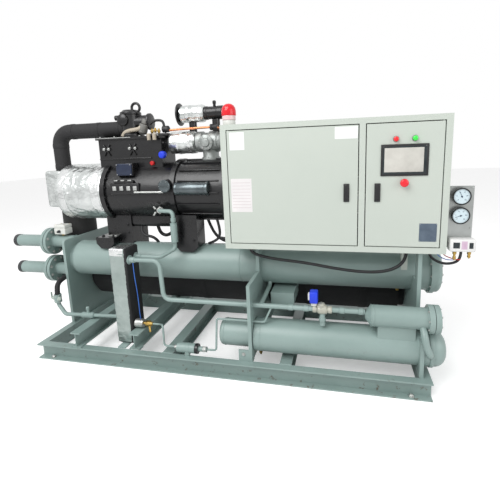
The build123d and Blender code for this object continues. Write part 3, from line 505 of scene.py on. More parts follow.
# The evaporator. A larger shell low at the rear, wrapped in black foam sheet whose joints are
# covered with strips of the same foam, one along it and one at the end of each sheet.
foam = worn_finish("black_foam", (0.006, 0.006, 0.007), (0.015, 0.015, 0.016), 5.0, 0.72, 320.0, 0.25)
nodes["evaporator_shell"].data.materials.clear()
nodes["evaporator_shell"].data.materials.append(foam)
evaporator_low, evaporator_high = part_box("evaporator_shell")
evaporator_radius = (evaporator_high[2] - evaporator_low[2]) / 2
evaporator_centre = (Vector(evaporator_low) + Vector(evaporator_high)) / 2
strip_rise = 0.003
strip_width = 0.05
foam_strips = []
for along in (0.34, 0.93, 1.70, 2.05):
    foam_strips.append(
        turned(
            "strip", (corner.x + along, evaporator_centre.y, evaporator_centre.z), right_way,
            ((0, evaporator_radius - 0.002), (0, evaporator_radius + strip_rise),
             (strip_width, evaporator_radius + strip_rise), (strip_width, evaporator_radius - 0.002)),
            72, 0.001,
        )
    )
dress(joined("evaporator_foam_strips", foam_strips), foam)
long_strip = sawn(
    "evaporator_long_strip",
    (corner.x + 0.34, evaporator_centre.y + evaporator_radius - 0.004, evaporator_centre.z - 0.028),
    (corner.x + 2.10, evaporator_centre.y + evaporator_radius + strip_rise, evaporator_centre.z + 0.028),
    0.0012,
)
dress(long_strip, foam)


# The subcooler. A slimmer vessel low at the front whose left part is smaller, closed by a pressed
# cap at the left and a domed head behind a ring flange at the right, with a brass drain under it.
subcooler_low, subcooler_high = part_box("subcooler_vessel")
subcooler_axis = Vector((0, (subcooler_low[1] + subcooler_high[1]) / 2, (subcooler_low[2] + subcooler_high[2]) / 2))
subcooler_radius = (subcooler_high[2] - subcooler_low[2]) / 2
small_radius = 0.0795


def on_subcooler(along):
    """A place on the subcooler's axis."""
    return Vector((corner.x + along, subcooler_axis.y, subcooler_axis.z))


subcooler_welds = [
    weld_ring("weld", on_subcooler(1.262), right_way, small_radius, 0.0025),
    weld_ring("weld", on_subcooler(1.4475), right_way, small_radius + 0.003, 0.004),
    weld_ring("weld", on_subcooler(1.487), right_way, subcooler_radius - 0.0005, 0.0022),
    weld_ring("weld", on_subcooler(2.360), right_way, subcooler_radius, 0.003),
]
dress(joined("subcooler_welds", subcooler_welds), vessel_paint)
head_ring = turned(
    "subcooler_head_ring", on_subcooler(2.392), right_way,
    ((0, subcooler_radius - 0.002), (0, subcooler_radius + 0.006), (0.018, subcooler_radius + 0.006),
     (0.018, subcooler_radius - 0.002)), 64, 0.0015,
)
dress(head_ring, vessel_paint)
drain_cock = [
    turned("stem", on_subcooler(1.470) - up_way * (subcooler_radius - 0.003), -up_way,
           ((0, 0.009), (0.012, 0.009), (0.012, 0.006), (0.020, 0.006)), 20, 0.0008),
    turned("nut", on_subcooler(1.470) - up_way * (subcooler_radius + 0.012), -up_way,
           ((0, 0.011), (0.014, 0.011)), 6, 0.001),
    turned("lever", on_subcooler(1.470) - up_way * (subcooler_radius + 0.030), -up_way,
           ((-0.006, 0.006), (0.006, 0.006)), 12, 0.001),
]
dress(joined("subcooler_drain_cock", drain_cock), brass)


# The filter drier. A short painted vessel over the subcooler with a reducer at the left and
# a bolted blind flange at the right. A thick elbow leads from its underside to the subcooler.
def tube(name, points, radius, order=3):
    """A bent tube that runs smoothly through its turns."""
    line = bpy.data.curves.new(name, "CURVE")
    line.dimensions = "3D"
    line.resolution_u = 10
    line.bevel_depth = radius
    line.bevel_resolution = 5
    line.use_fill_caps = True
    spline = line.splines.new("NURBS")
    spline.points.add(len(points) - 1)
    for point, place in zip(spline.points, points):
        point.co = (*place, 1)
    spline.order_u = order
    spline.use_endpoint_u = True
    bent = bpy.data.objects.new(name, line)
    scene.collection.objects.link(bent)
    bpy.ops.object.select_all(action="DESELECT")
    bent.select_set(True)
    bpy.context.view_layer.objects.active = bent
    bpy.ops.object.convert(target="MESH")
    piece = bpy.context.object
    bpy.ops.object.shade_smooth_by_angle(angle=math.radians(50))
    return piece


drier_low, drier_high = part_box("filter_drier")
drier_cover_low, drier_cover_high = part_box("filter_drier_cover")
drier_y = (drier_cover_low[1] + drier_cover_high[1]) / 2
drier_z = (drier_cover_low[2] + drier_cover_high[2]) / 2
flange_bolt_ring = 0.063
drier_bolts = bolt_ring((drier_cover_high[0], drier_y, drier_z), right_way, flange_bolt_ring, 8, 0.006, 0.2)
drier_bolts += bolt_ring((drier_cover_low[0] - 0.026, drier_y, drier_z), left_way, 0.0652, 8, 0.0055, 0.2)
dress(joined("filter_drier_bolts", drier_bolts), zinc)
drier_welds = [
    weld_ring("weld", (corner.x + 2.096, drier_y, drier_z), right_way, 0.0565, 0.0028),
    weld_ring("weld", (corner.x + 2.112, drier_y, drier_z), right_way, 0.0572, 0.0018),
    weld_ring("weld", (corner.x + 2.375, drier_y, drier_z), right_way, 0.0575, 0.0035),
]
dress(joined("filter_drier_welds", drier_welds), vessel_paint)
drier_elbow = tube(
    "filter_drier_elbow",
    [spot(2.350, 0.080, 0.385), spot(2.350, 0.024, 0.352), spot(2.362, 0.019, 0.290),
     spot(2.386, 0.022, 0.236), spot(2.390, 0.085, 0.218)], 0.0175,
)
dress(drier_elbow, vessel_paint)


# The water connections. Two flanged necks leave the left plate, and a flanged stub closed by a
# transport cap is bolted to each, with a dark gasket between the flanges.
for name in ("upper_water_neck", "lower_water_neck", "upper_water_pipe", "lower_water_pipe"):
    nodes[name].data.materials.clear()
    nodes[name].data.materials.append(vessel_paint)
cap_plastic = worn_finish("dark_cap_plastic", (0.02, 0.022, 0.025), (0.035, 0.037, 0.04), 20.0, 0.42)
for level in ("upper", "lower"):
    pipe_low, pipe_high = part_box(level + "_water_pipe")
    neck_low, neck_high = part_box(level + "_water_neck")
    middle_y = (pipe_low[1] + pipe_high[1]) / 2
    middle_z = (pipe_low[2] + pipe_high[2]) / 2
    flange_rear = neck_low[0] + 0.006 + 0.022
    flange_bolts = bolt_ring((flange_rear, middle_y, middle_z), right_way, 0.080, 8, 0.010, 0.39)
    flange_bolts += bolt_ring((pipe_high[0] - 0.022, middle_y, middle_z), left_way, 0.080, 8, 0.010, 0.39)
    dress(joined(level + "_flange_bolts", flange_bolts), zinc)
    gasket = turned(
        level + "_gasket", (pipe_high[0] + 0.0004, middle_y, middle_z), right_way,
        ((0, 0.046), (0, 0.072), (0.0052, 0.072), (0.0052, 0.046)), 48,
    )
    dress(gasket, black_rubber)
    bead_parts = [
        weld_ring("weld", (pipe_high[0] - 0.0225, middle_y, middle_z), left_way, 0.0455, 0.0035),
        weld_ring("weld", (flange_rear + 0.0005, middle_y, middle_z), left_way, 0.0455, 0.0035),
        weld_ring("weld", (neck_high[0] - 0.001, middle_y, middle_z), left_way, 0.0455, 0.0035),
    ]
    dress(joined(level + "_water_welds", bead_parts), vessel_paint)
    cap = turned(
        level + "_transport_cap", (pipe_low[0], middle_y, middle_z), right_way,
        ((0, 0.040), (0, 0.0465), (0.030, 0.0465), (0.030, 0.0448)), 48, 0.001,
    )
    dress(cap, cap_plastic)


# The flow switch. A pale box with a screwed lid stands on a short stem on the upper neck,
# with a cable gland at its side.
cream_plastic = worn_finish("cream_plastic", (0.60, 0.61, 0.57), (0.68, 0.69, 0.66), 14.0, 0.38, 90.0, 0.03)
switch_low, switch_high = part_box("flow_switch")
switch_bottom = switch_high[2] - 0.072
switch_x = (switch_low[0] + switch_high[0]) / 2
switch_y = (switch_low[1] + switch_high[1]) / 2
switch_parts = [
    sawn("box", (switch_low[0], switch_low[1], switch_bottom), (switch_high[0], switch_high[1], switch_high[2] - 0.026), 0.006, 3),
    sawn("lid", (switch_low[0], switch_low[1], switch_high[2] - 0.0245), switch_high, 0.006, 3),
    sawn("seal", (switch_low[0] + 0.004, switch_low[1] + 0.004, switch_high[2] - 0.03),
         (switch_high[0] - 0.004, switch_high[1] - 0.004, switch_high[2] - 0.02)),
]
flow_switch = joined("flow_switch_box", switch_parts)
dress(flow_switch, cream_plastic)
stem_parts = [
    turned("stem", (switch_x, switch_y, switch_low[2] + 0.006), up_way,
           ((0, 0.011), (switch_bottom - switch_low[2] - 0.004, 0.011)), 24),
    turned("nut", (switch_x, switch_y, switch_bottom - 0.011), up_way, ((0, 0.016), (0.012, 0.016)), 6, 0.001),
]
for along in (switch_low[0] + 0.012, switch_high[0] - 0.012):
    for across in (switch_low[1] + 0.012, switch_high[1] - 0.012):
        stem_parts.append(
            turned("screw", (along, across, switch_high[2] - 0.0012), up_way, ((0, 0.0045), (0.0022, 0.004)), 12)
        )
stem_piece = joined("flow_switch_stem", stem_parts)
dress(stem_piece, brass)
gland = turned(
    "flow_switch_gland", (switch_x, switch_low[1] + 0.001, switch_bottom + 0.024), front_way,
    ((0, 0.011), (0.010, 0.011), (0.010, 0.009), (0.022, 0.0075)), 12, 0.0008,
)
dress(gland, cap_plastic)
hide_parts("flow_switch")
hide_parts("flow_switch")


# The compressor. Its suction end is wrapped in crumpled aluminium foil over lagging, and the
# rotor casting and the motor are painted gloss black, bolted together through ring flanges.
def foil_finish(name, colour, second, crease_scale, crease, roughness):
    """Aluminium foil over lagging, creased all over, with brighter and duller patches."""
    material = worn_finish(name, colour, second, 7.0, roughness, crease_scale * 2.6, 0.3, 0.95, 0.6)
    tree = material.node_tree
    shader = tree.nodes["Principled BSDF"]
    grain = shader.inputs["Normal"].links[0].from_node
    place = tree.nodes.new("ShaderNodeTexCoord")
    swirl = tree.nodes.new("ShaderNodeTexNoise")
    swirl.inputs["Scale"].default_value = crease_scale * 0.7
    swirl.inputs["Detail"].default_value = 2.0
    tree.links.new(place.outputs["Object"], swirl.inputs["Vector"])
    bent = tree.nodes.new("ShaderNodeMix")
    bent.data_type = "VECTOR"
    bent.inputs["Factor"].default_value = 0.12
    tree.links.new(place.outputs["Object"], bent.inputs["A"])
    tree.links.new(swirl.outputs["Color"], bent.inputs["B"])
    folds = tree.nodes.new("ShaderNodeTexVoronoi")
    folds.inputs["Scale"].default_value = crease_scale
    tree.links.new(bent.outputs["Result"], folds.inputs["Vector"])
    creased = tree.nodes.new("ShaderNodeBump")
    creased.inputs["Strength"].default_value = crease
    creased.inputs["Distance"].default_value = 0.012
    tree.links.new(folds.outputs["Distance"], creased.inputs["Height"])
    tree.links.new(grain.outputs["Normal"], creased.inputs["Normal"])
    tree.links.new(creased.outputs["Normal"], shader.inputs["Normal"])
    return material


jacket_foil = foil_finish("jacket_foil", (0.50, 0.53, 0.52), (0.80, 0.82, 0.81), 17.0, 0.55, 0.27)
tape_foil = foil_finish("tape_foil", (0.66, 0.68, 0.67), (0.82, 0.83, 0.83), 26.0, 0.25, 0.22)


def crumple(piece, depth, size):
    """Pushes a wrapped surface in and out as foil over lagging lies."""
    bpy.context.view_layer.objects.active = piece
    for share, scale in ((0.65, size), (0.35, size * 0.4)):
        lumps = bpy.data.textures.new("lagging_lumps", "CLOUDS")
        lumps.noise_scale = scale
        lumps.noise_depth = 2
        push = piece.modifiers.new("lumps", "DISPLACE")
        push.texture = lumps
        push.texture_coords = "LOCAL"
        push.strength = depth * share
        bpy.ops.object.modifier_apply(modifier=push.name)


def stepped(start, end, radius, steps):
    """A straight length of a round profile, cut into even steps."""
    return tuple((start + (end - start) * step / steps, radius) for step in range(steps + 1))


jacket_low, jacket_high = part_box("compressor_jacket")
compressor_y = (jacket_low[1] + jacket_high[1]) / 2
compressor_z = 1.045
jacket_radius = 0.2
jacket_length = jacket_high[0] - jacket_low[0]


def on_compressor(along):
    """A place on the compressor's axis."""
    return Vector((corner.x + along, compressor_y, compressor_z))


jacket = turned(
    "foil_jacket", on_compressor(-0.037), right_way,
    ((0, jacket_radius - 0.035), (0.006, jacket_radius - 0.010), (0.016, jacket_radius - 0.002))
    + stepped(0.03, jacket_length - 0.012, jacket_radius, 26)
    + ((jacket_length, jacket_radius - 0.006),), 112,
)
crumple(jacket, 0.011, 0.075)
dress(jacket, jacket_foil)
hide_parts("compressor_jacket")
jacket_tapes = []
for along, width in ((0.004, 0.050), (0.262, 0.062)):
    jacket_tapes.append(
        turned(
            "tape", on_compressor(along), right_way,
            ((0, jacket_radius - 0.004), (0, jacket_radius + 0.0012))
            + stepped(0.002, width, jacket_radius + 0.0016, 4)
            + ((width, jacket_radius - 0.004),), 112,
        )
    )
tape_wrap = joined("jacket_tapes", jacket_tapes)
crumple(tape_wrap, 0.011, 0.075)
dress(tape_wrap, tape_foil)
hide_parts("compressor_jacket")
knob_parts = [
    turned("neck", (corner.x + 0.262, compressor_y, compressor_z + jacket_radius - 0.006), up_way,
           ((0, 0.024), (0.012, 0.020), (0.020, 0.016), (0.026, 0.020), (0.034, 0.017), (0.036, 0.008)), 32, 0.001),
]
jacket_knob = joined("jacket_knob", knob_parts)
black_enamel = worn_finish("black_enamel", (0.0035, 0.0035, 0.004), (0.009, 0.009, 0.010), 6.0, 0.27, 46.0, 0.22)
dress(jacket_knob, black_enamel)
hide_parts("compressor_jacket")

box_low, box_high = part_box("compressor_inlet_box")
bpy.ops.object.select_all(action="DESELECT")
inlet_box = sawn("foil_inlet_box", box_low, box_high, 0.022, 4)
bpy.ops.object.mode_set(mode="EDIT")
bpy.ops.mesh.select_all(action="SELECT")
bpy.ops.mesh.subdivide(number_cuts=9)
bpy.ops.object.mode_set(mode="OBJECT")
crumple(inlet_box, 0.007, 0.05)
bpy.ops.object.shade_smooth_by_angle(angle=math.radians(40))
dress(inlet_box, jacket_foil)
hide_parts("compressor_inlet_box")

for name in (
    "compressor_casting", "compressor_motor", "left_compressor_foot", "right_compressor_foot",
    "compressor_top_block", "stop_valve",
):
    nodes[name].data.materials.clear()
    nodes[name].data.materials.append(black_enamel)
casting_radius = 0.196
joint_ring = 0.204
joint_bolts = bolt_ring(on_compressor(0.377), right_way, joint_ring, 20, 0.007, 0.1)
joint_bolts += bolt_ring(on_compressor(0.858), left_way, 0.208, 20, 0.007, 0.05)
joint_bolts += bolt_ring(on_compressor(1.226), right_way, 0.2125, 16, 0.0045, 0.15)
dark_bolts = worn_finish("blackened_bolts", (0.012, 0.012, 0.013), (0.05, 0.05, 0.052), 60.0, 0.3, 120.0, 0.1, 0.6)
dress(joined("compressor_flange_bolts", joint_bolts), dark_bolts)

# The motor's end shield and the cast ribs along the motor.
rib_parts = [
    turned("end_shield", on_compressor(1.2575), right_way,
           ((0, 0.196), (0.004, 0.186), (0.006, 0.120), (0.010, 0.112), (0.012, 0.060)), 64, 0.001),
]
for turn_step in range(9):
    rib = sawn("rib", (-0.130, -0.004, 0.197), (0.150, 0.004, 0.215), 0.002)
    rib.matrix_world = (
        Matrix.Translation(on_compressor(1.040))
        @ Matrix.Rotation(math.radians(152 - turn_step * 21), 4, "X")
    )
    bpy.ops.object.transform_apply(location=True, rotation=True, scale=True)
    rib_parts.append(rib)
dress(joined("motor_ribs", rib_parts), black_enamel)

# The control side of the rotor casting: a slide valve block with four bright square plugs, a
# bright tube along it to the valve cover, and the oil filter's housing in front of the motor.
control_y = compressor_y - 0.192
manifold = sawn(
    "slide_valve_block", (corner.x + 0.425, control_y - 0.012, 1.040), (corner.x + 0.640, compressor_y - 0.13, 1.115), 0.005
)
dress(manifold, black_enamel)
plugs = []
for along in (0.448, 0.500, 0.552, 0.600):
    start = (corner.x + along, control_y - 0.019, 1.068)
    plugs.append(sawn("plug", start, (start[0] + 0.027, control_y - 0.011, 1.096), 0.002))
for along in (0.462, 0.512, 0.563):
    start = (corner.x + along, control_y - 0.016, 1.130)
    plugs.append(sawn("tab", start, (start[0] + 0.026, control_y + 0.02, 1.137), 0.001))
dress(joined("slide_valve_plugs", plugs), zinc)
manifold_neck = sawn(
    "terminal_tab_bar", (corner.x + 0.455, control_y - 0.010, 1.116), (corner.x + 0.600, compressor_y - 0.12, 1.1305), 0.003
)
dress(manifold_neck, black_enamel)
control_tube = turned(
    "control_tube", (corner.x + 0.610, control_y - 0.022, 1.056), right_way,
    ((0, 0.0045), (0, 0.007), (0.010, 0.007), (0.010, 0.0065), (0.180, 0.0065), (0.180, 0.008), (0.210, 0.008)), 24,
)
dress(control_tube, zinc)
cover_gloss = worn_finish("valve_cover_gloss", (0.05, 0.06, 0.065), (0.16, 0.19, 0.20), 16.0, 0.2, 40.0, 0.1, 0.7)
cover_x = corner.x + 0.844
cover_y = spot(0, 0.2965, 0).y
valve_cover = [
    turned("cover", (cover_x, cover_y, 1.096), front_way,
           ((0, 0.0405), (0.006, 0.0405), (0.010, 0.036), (0.012, 0.018), (0.014, 0.012)), 40, 0.001),
]
dress(joined("valve_cover", valve_cover), cover_gloss)
dress(
    joined("valve_cover_screws", bolt_ring((cover_x, cover_y - 0.006, 1.096), front_way, 0.032, 6, 0.004)),
    zinc,
)
filter_y = spot(0, 0.338, 0).y
filter_parts = [
    turned("end_cap", (corner.x + 0.896, filter_y, 1.075), right_way,
           ((0, 0.024), (0.002, 0.036), (0.010, 0.0435), (0.024, 0.0435)), 40, 0.001),
    turned("body", (corner.x + 0.915, filter_y, 1.075), right_way,
           ((0, 0.0425), (0.196, 0.0425)), 48, 0.001),
    turned("rim", (corner.x + 1.108, filter_y, 1.075), right_way,
           ((0, 0.0455), (0.018, 0.0455), (0.022, 0.040), (0.024, 0.02)), 40, 0.001),
]
dress(joined("oil_filter_shell", filter_parts), cover_gloss)

# The terminal box: a black case with a dark blue lid that is held by four screws.
navy_lid = worn_finish("navy_lid", (0.008, 0.014, 0.035), (0.014, 0.024, 0.055), 18.0, 0.3, 60.0, 0.05)
terminal_low, terminal_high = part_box("terminal_box")
terminal_parts = [
    sawn("case", (terminal_low[0], terminal_low[1] + 0.012, terminal_high[2] - 0.088), (terminal_high[0], terminal_high[1] - 0.003, terminal_high[2] - 0.004), 0.005, 3),
    sawn("foot", (terminal_low[0] + 0.012, terminal_low[1] + 0.03, terminal_low[2]), (terminal_high[0] - 0.012, terminal_high[1] - 0.01, terminal_high[2] - 0.05), 0.003),
]
terminal_case = joined("terminal_case", terminal_parts)
dress(terminal_case, black_enamel)
terminal_lid = sawn(
    "terminal_lid", (terminal_low[0] + 0.003, terminal_low[1] + 0.001, terminal_high[2] - 0.085),
    (terminal_high[0] - 0.003, terminal_low[1] + 0.0125, terminal_high[2] - 0.007), 0.004, 3,
)
bpy.ops.object.mode_set(mode="EDIT")
bpy.ops.mesh.select_all(action="DESELECT")
bpy.ops.object.mode_set(mode="OBJECT")
for face in terminal_lid.data.polygons:
    face.select = face.normal.y < -0.99 and face.area > 0.004
bpy.ops.object.mode_set(mode="EDIT")
bpy.ops.mesh.select_mode(type="FACE")
bpy.ops.mesh.inset(thickness=0.008, depth=-0.0022)
bpy.ops.object.mode_set(mode="OBJECT")
dress(terminal_lid, navy_lid)
lid_screws = []
for along in (terminal_low[0] + 0.010, terminal_high[0] - 0.010):
    for height in (terminal_high[2] - 0.078, terminal_high[2] - 0.014):
        lid_screws.append(
            turned("screw", (along, terminal_low[1] + 0.0014, height), front_way, ((0, 0.0036), (0.0018, 0.0032)), 12)
        )
dress(joined("terminal_lid_screws", lid_screws), zinc)
for piece in (terminal_case, terminal_lid):
    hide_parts("terminal_box")


# The block on top of the casting. Its top plate overhangs, two bright bolts with cast webs hold
# it at the front, and cable glands and small fittings sit at its right.
block_low, block_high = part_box("compressor_top_block")
block_front = block_low[1] + 0.014
block_top = block_high[2]
webs = []
for along in (0.363, 0.560):
    for lean in (-32, 32):
        web = sawn("web", (-0.004, -0.010, -0.045), (0.004, 0.0, 0.045), 0.0015)
        web.matrix_world = (
            Matrix.Translation((corner.x + along, block_front, block_top - 0.085))
            @ Matrix.Rotation(math.radians(lean), 4, "Y")
        )
        bpy.ops.object.transform_apply(location=True, rotation=True, scale=True)
        webs.append(web)
webs.append(
    sawn("ledge", (block_low[0] + 0.016, block_front - 0.008, block_top - 0.150),
         (block_high[0] - 0.09, block_front + 0.004, block_top - 0.140), 0.002)
)
dress(joined("top_block_webs", webs), black_enamel)
block_bolts = []
for along in (0.345, 0.380, 0.540, 0.582):
    block_bolts += bolt((corner.x + along, block_front - 0.0105, block_top - 0.078), front_way, 0.009)
for along in (0.32, 0.43, 0.62, 0.75):
    block_bolts += bolt((corner.x + along, block_low[1] + 0.010, block_top - 0.0005), up_way, 0.007)
dress(joined("top_block_bolts", block_bolts), zinc)
# A thin zinc strip along the top plate's front edge is a painted highlight: the glint of light on that edge.
top_edge_painted_highlight = sawn(
    "top_plate_edge_painted_highlight", (block_low[0] + 0.002, block_low[1] - 0.0015, block_top - 0.006),
    (block_low[0] + 0.27, block_low[1] + 0.0005, block_top - 0.002),
)
dress(top_edge_painted_highlight, zinc)
blue_plastic = worn_finish("blue_plastic", (0.005, 0.03, 0.55), (0.01, 0.05, 0.7), 20.0, 0.35, 60.0, 0.04)
red_plastic = worn_finish("red_plastic", (0.42, 0.006, 0.008), (0.55, 0.01, 0.012), 20.0, 0.3, 60.0, 0.03)
sensor_parts = [
    turned("cap", (corner.x + 0.782, block_front + 0.002, 1.293), front_way,
           ((0, 0.024), (0.030, 0.024), (0.036, 0.018)), 20, 0.002),
]
dress(joined("blue_sensor_cap", sensor_parts), blue_plastic)
red_cap = turned(
    "red_valve_cap", (corner.x + 0.699, block_front + 0.002, 1.240), front_way,
    ((0, 0.015), (0.016, 0.015), (0.020, 0.010)), 16, 0.001,
)
dress(red_cap, red_plastic)


# The stop valve. A black cast body with a lifting ring, a hexagon gland with its spindle, a side
# handle, a grey actuator leaning to the right, and an earth-brown conduit that leaves it downwards.
valve_low, valve_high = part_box("stop_valve")
valve_x = corner.x + 0.505
valve_y = compressor_y
valve_parts = [
    turned("collar", (valve_x, valve_y, block_top), up_way,
           ((0, 0.082), (0.022, 0.082), (0.022, 0.070), (0.040, 0.0665)), 48, 0.002),
    turned("cap", (valve_x, valve_y, block_top + 0.150), up_way,
           ((0, 0.072), (0.018, 0.072), (0.026, 0.056), (0.034, 0.050)), 48, 0.002),
    turned("arm_flange", (valve_x + 0.136, valve_y, 1.520), right_way,
           ((0, 0.056), (0.016, 0.056)), 40, 0.002),
    turned("handle", (valve_x - 0.058, valve_y - 0.01, 1.556), left_way,
           ((0, 0.010), (0.034, 0.010), (0.034, 0.018), (0.056, 0.018)), 20, 0.002),
    turned("second_arm", (valve_x - 0.02, valve_y - 0.05, 1.535), front_way,
           ((0, 0.040), (0.030, 0.040), (0.036, 0.030)), 32, 0.002),
]
dress(joined("stop_valve_castings", valve_parts), black_enamel)
valve_studs = bolt_ring((valve_x, valve_y, block_top + 0.022), up_way, 0.076, 8, 0.006)
valve_studs += bolt_ring((valve_x, valve_y, block_top + 0.168), up_way, 0.060, 6, 0.006)
dress(joined("stop_valve_bolts", valve_studs), dark_bolts)
grey_cast = worn_finish("grey_cast", (0.14, 0.14, 0.13), (0.24, 0.235, 0.22), 22.0, 0.45, 90.0, 0.25, 0.2)
actuator = [
    turned("barrel", spot(0.604, 0.500, 1.440), Vector((0.35, 0, 1)),
           ((0, 0.024), (0.010, 0.031), (0.060, 0.031), (0.066, 0.026)), 32, 0.0015),
    turned("top", spot(0.628, 0.500, 1.505), Vector((0.35, 0, 1)),
           ((0, 0.022), (0.028, 0.022), (0.032, 0.012)), 24, 0.001),
]
dress(joined("valve_actuator", actuator), grey_cast)
conduit_finish = worn_finish("beige_conduit", (0.36, 0.31, 0.24), (0.46, 0.41, 0.33), 26.0, 0.5, 200.0, 0.2)
conduit = tube(
    "valve_conduit",
    [spot(0.476, 0.470, 1.426), spot(0.484, 0.470, 1.446), spot(0.520, 0.472, 1.462),
     spot(0.566, 0.474, 1.466), spot(0.606, 0.480, 1.472), spot(0.618, 0.490, 1.500)], 0.014,
)
dress(conduit, conduit_finish)

# Under the compressor, studs and a bright level pad show on the feet, and black hoses loop
# between the casting and the shells.
foot_low, foot_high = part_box("left_compressor_foot")
foot_studs = []
for along, across, height in ((0.290, 0.395, 0.738), (0.372, 0.395, 0.738), (0.290, 0.610, 0.738)):
    foot_studs += bolt(spot(along, across, height), up_way, 0.010)
for height in (0.760, 0.815):
    foot_studs += bolt(spot(0.470, 0.430, height), front_way, 0.009)
for along in (0.890, 0.995):
    foot_studs += bolt(spot(along, 0.350, 0.730), front_way, 0.009)
dress(joined("foot_bolts", foot_studs), dark_bolts)
level_pad = sawn("foot_level_pad", spot(0.330, 0.392, 0.7375), spot(0.398, 0.428, 0.746), 0.002)
dress(level_pad, zinc)
hoses = [
    tube("hose", [spot(0.560, 0.470, 0.806), spot(0.556, 0.455, 0.770), spot(0.585, 0.450, 0.736),
                  spot(0.640, 0.455, 0.728), spot(0.668, 0.468, 0.700), spot(0.670, 0.480, 0.682)], 0.010),
    tube("hose", [spot(0.640, 0.540, 0.805), spot(0.645, 0.545, 0.745), spot(0.690, 0.550, 0.712),
                  spot(0.745, 0.545, 0.735), spot(0.790, 0.530, 0.790), spot(0.800, 0.520, 0.850)], 0.012),
    tube("hose", [spot(1.035, 0.520, 0.850), spot(1.060, 0.520, 0.780), spot(1.100, 0.520, 0.720),
                  spot(1.160, 0.515, 0.690), spot(1.235, 0.500, 0.679)], 0.010),
    tube("hose", [spot(1.130, 0.440, 0.868), spot(1.148, 0.440, 0.800), spot(1.146, 0.440, 0.742),
                  spot(1.110, 0.440, 0.708), spot(1.060, 0.450, 0.690)], 0.009),
    tube("hose", [spot(1.146, 0.440, 0.735), spot(1.190, 0.445, 0.728), spot(1.260, 0.450, 0.722),
                  spot(1.330, 0.440, 0.712), spot(1.400, 0.420, 0.700)], 0.008),
]
dress(joined("underside_hoses", hoses), black_rubber)


# The two foil covered cylinders over the motor end. The lower one is the discharge valve, whose
# right half is a bare grey casting, and the upper one has a black cap with a knob.
muffler_low, muffler_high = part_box("muffler")
discharge_low, discharge_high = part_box("discharge_valve")
upper_y = (muffler_low[1] + muffler_high[1]) / 2
lower_centre = Vector((corner.x, upper_y, 1.370))
upper_centre = Vector((corner.x, upper_y, 1.556))


def wrapped(name, centre, start, end, radius, depth):
    """A lagged cylinder under crumpled foil, with turned-in ends."""
    length = end - start
    piece = turned(
        name, centre + Vector((start, 0, 0)), right_way,
        ((0, radius * 0.55), (0.004, radius * 0.86), (0.012, radius * 0.98))
        + stepped(0.02, length - 0.02, radius, 12)
        + ((length - 0.012, radius * 0.98), (length - 0.003, radius * 0.86), (length, radius * 0.55)), 72,
    )
    crumple(piece, depth, 0.05)
    dress(piece, jacket_foil)
    return piece


lower_foil = wrapped("discharge_foil", lower_centre, 0.786, 0.984, 0.076, 0.009)
upper_foil = wrapped("muffler_foil", upper_centre, 0.869, 1.050, 0.056, 0.008)
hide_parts("discharge_valve")
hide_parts("muffler")
foil_wraps = []
for centre, along, radius in (
    (lower_centre, 0.842, 0.0775), (lower_centre, 0.928, 0.0775), (upper_centre, 0.920, 0.0575), (upper_centre, 1.004, 0.0575),
):
    foil_wraps.append(
        turned("wrap", centre + Vector((along, 0, 0)), right_way,
               ((0, radius - 0.006), (0, radius), (0.024, radius), (0.024, radius - 0.006)), 72, 0.001)
    )
foil_wrap = joined("cylinder_foil_bands", foil_wraps)
crumple(foil_wrap, 0.009, 0.05)
dress(foil_wrap, tape_foil)
dull_casting = worn_finish("dull_grey_casting", (0.20, 0.22, 0.21), (0.42, 0.44, 0.43), 24.0, 0.42, 55.0, 0.6, 0.55)
valve_body = [
    turned("body", lower_centre + Vector((0.982, 0, 0)), right_way,
           ((0, 0.058), (0.006, 0.069), (0.046, 0.069), (0.052, 0.060), (0.090, 0.060), (0.096, 0.070),
            (0.150, 0.070), (0.158, 0.062), (0.178, 0.058)), 56, 0.0015),
    turned("neck", (corner.x + 1.0725, upper_y, 1.246), up_way,
           ((0, 0.064), (0.018, 0.064), (0.018, 0.054), (0.070, 0.054)), 48, 0.0015),
    turned("bonnet", (corner.x + 1.068, upper_y - 0.055, 1.362), front_way,
           ((0, 0.044), (0.020, 0.044), (0.020, 0.050), (0.030, 0.050), (0.034, 0.030), (0.044, 0.026)), 40, 0.0015),
]
discharge_body = joined("discharge_valve_body", valve_body)
dress(discharge_body, dull_casting)
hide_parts("discharge_valve")
body_bolts = bolt_ring((corner.x + 1.068, upper_y - 0.0845, 1.362), front_way, 0.040, 6, 0.0055)
body_bolts += bolt_ring((corner.x + 1.0725, upper_y, 1.264), up_way, 0.0585, 8, 0.005)
dress(joined("discharge_valve_bolts", body_bolts), zinc)
stem_pair = []
for along, top, bottom in ((0.955, 1.500, 1.440), (1.120, 1.512, 1.434)):
    stem_pair.append(
        turned("stem", (corner.x + along, upper_y, bottom), up_way,
               ((0, 0.026), (top - bottom, 0.026)), 32)
    )
stem_pair.append(
    turned("disc", upper_centre + Vector((0.862, 0, 0)), right_way, ((0, 0.074), (0.008, 0.074)), 56, 0.0012)
)
muffler_stems = joined("muffler_stems", stem_pair)
dress(muffler_stems, black_enamel)
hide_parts("muffler")
cap_parts = [
    turned("cap", upper_centre + Vector((1.046, 0, 0)), right_way,
           ((0, 0.036), (0.004, 0.044), (0.020, 0.044), (0.022, 0.0415), (0.090, 0.0415), (0.092, 0.044),
            (0.126, 0.044), (0.132, 0.038)), 48, 0.001),
    turned("knob", (corner.x + 1.114, upper_y, 1.596), up_way,
           ((0, 0.010), (0.014, 0.009), (0.020, 0.012), (0.034, 0.012), (0.038, 0.007)), 28, 0.001),
]
muffler_cap = joined("muffler_black_cap", cap_parts)
dress(muffler_cap, black_enamel)
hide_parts("muffler")

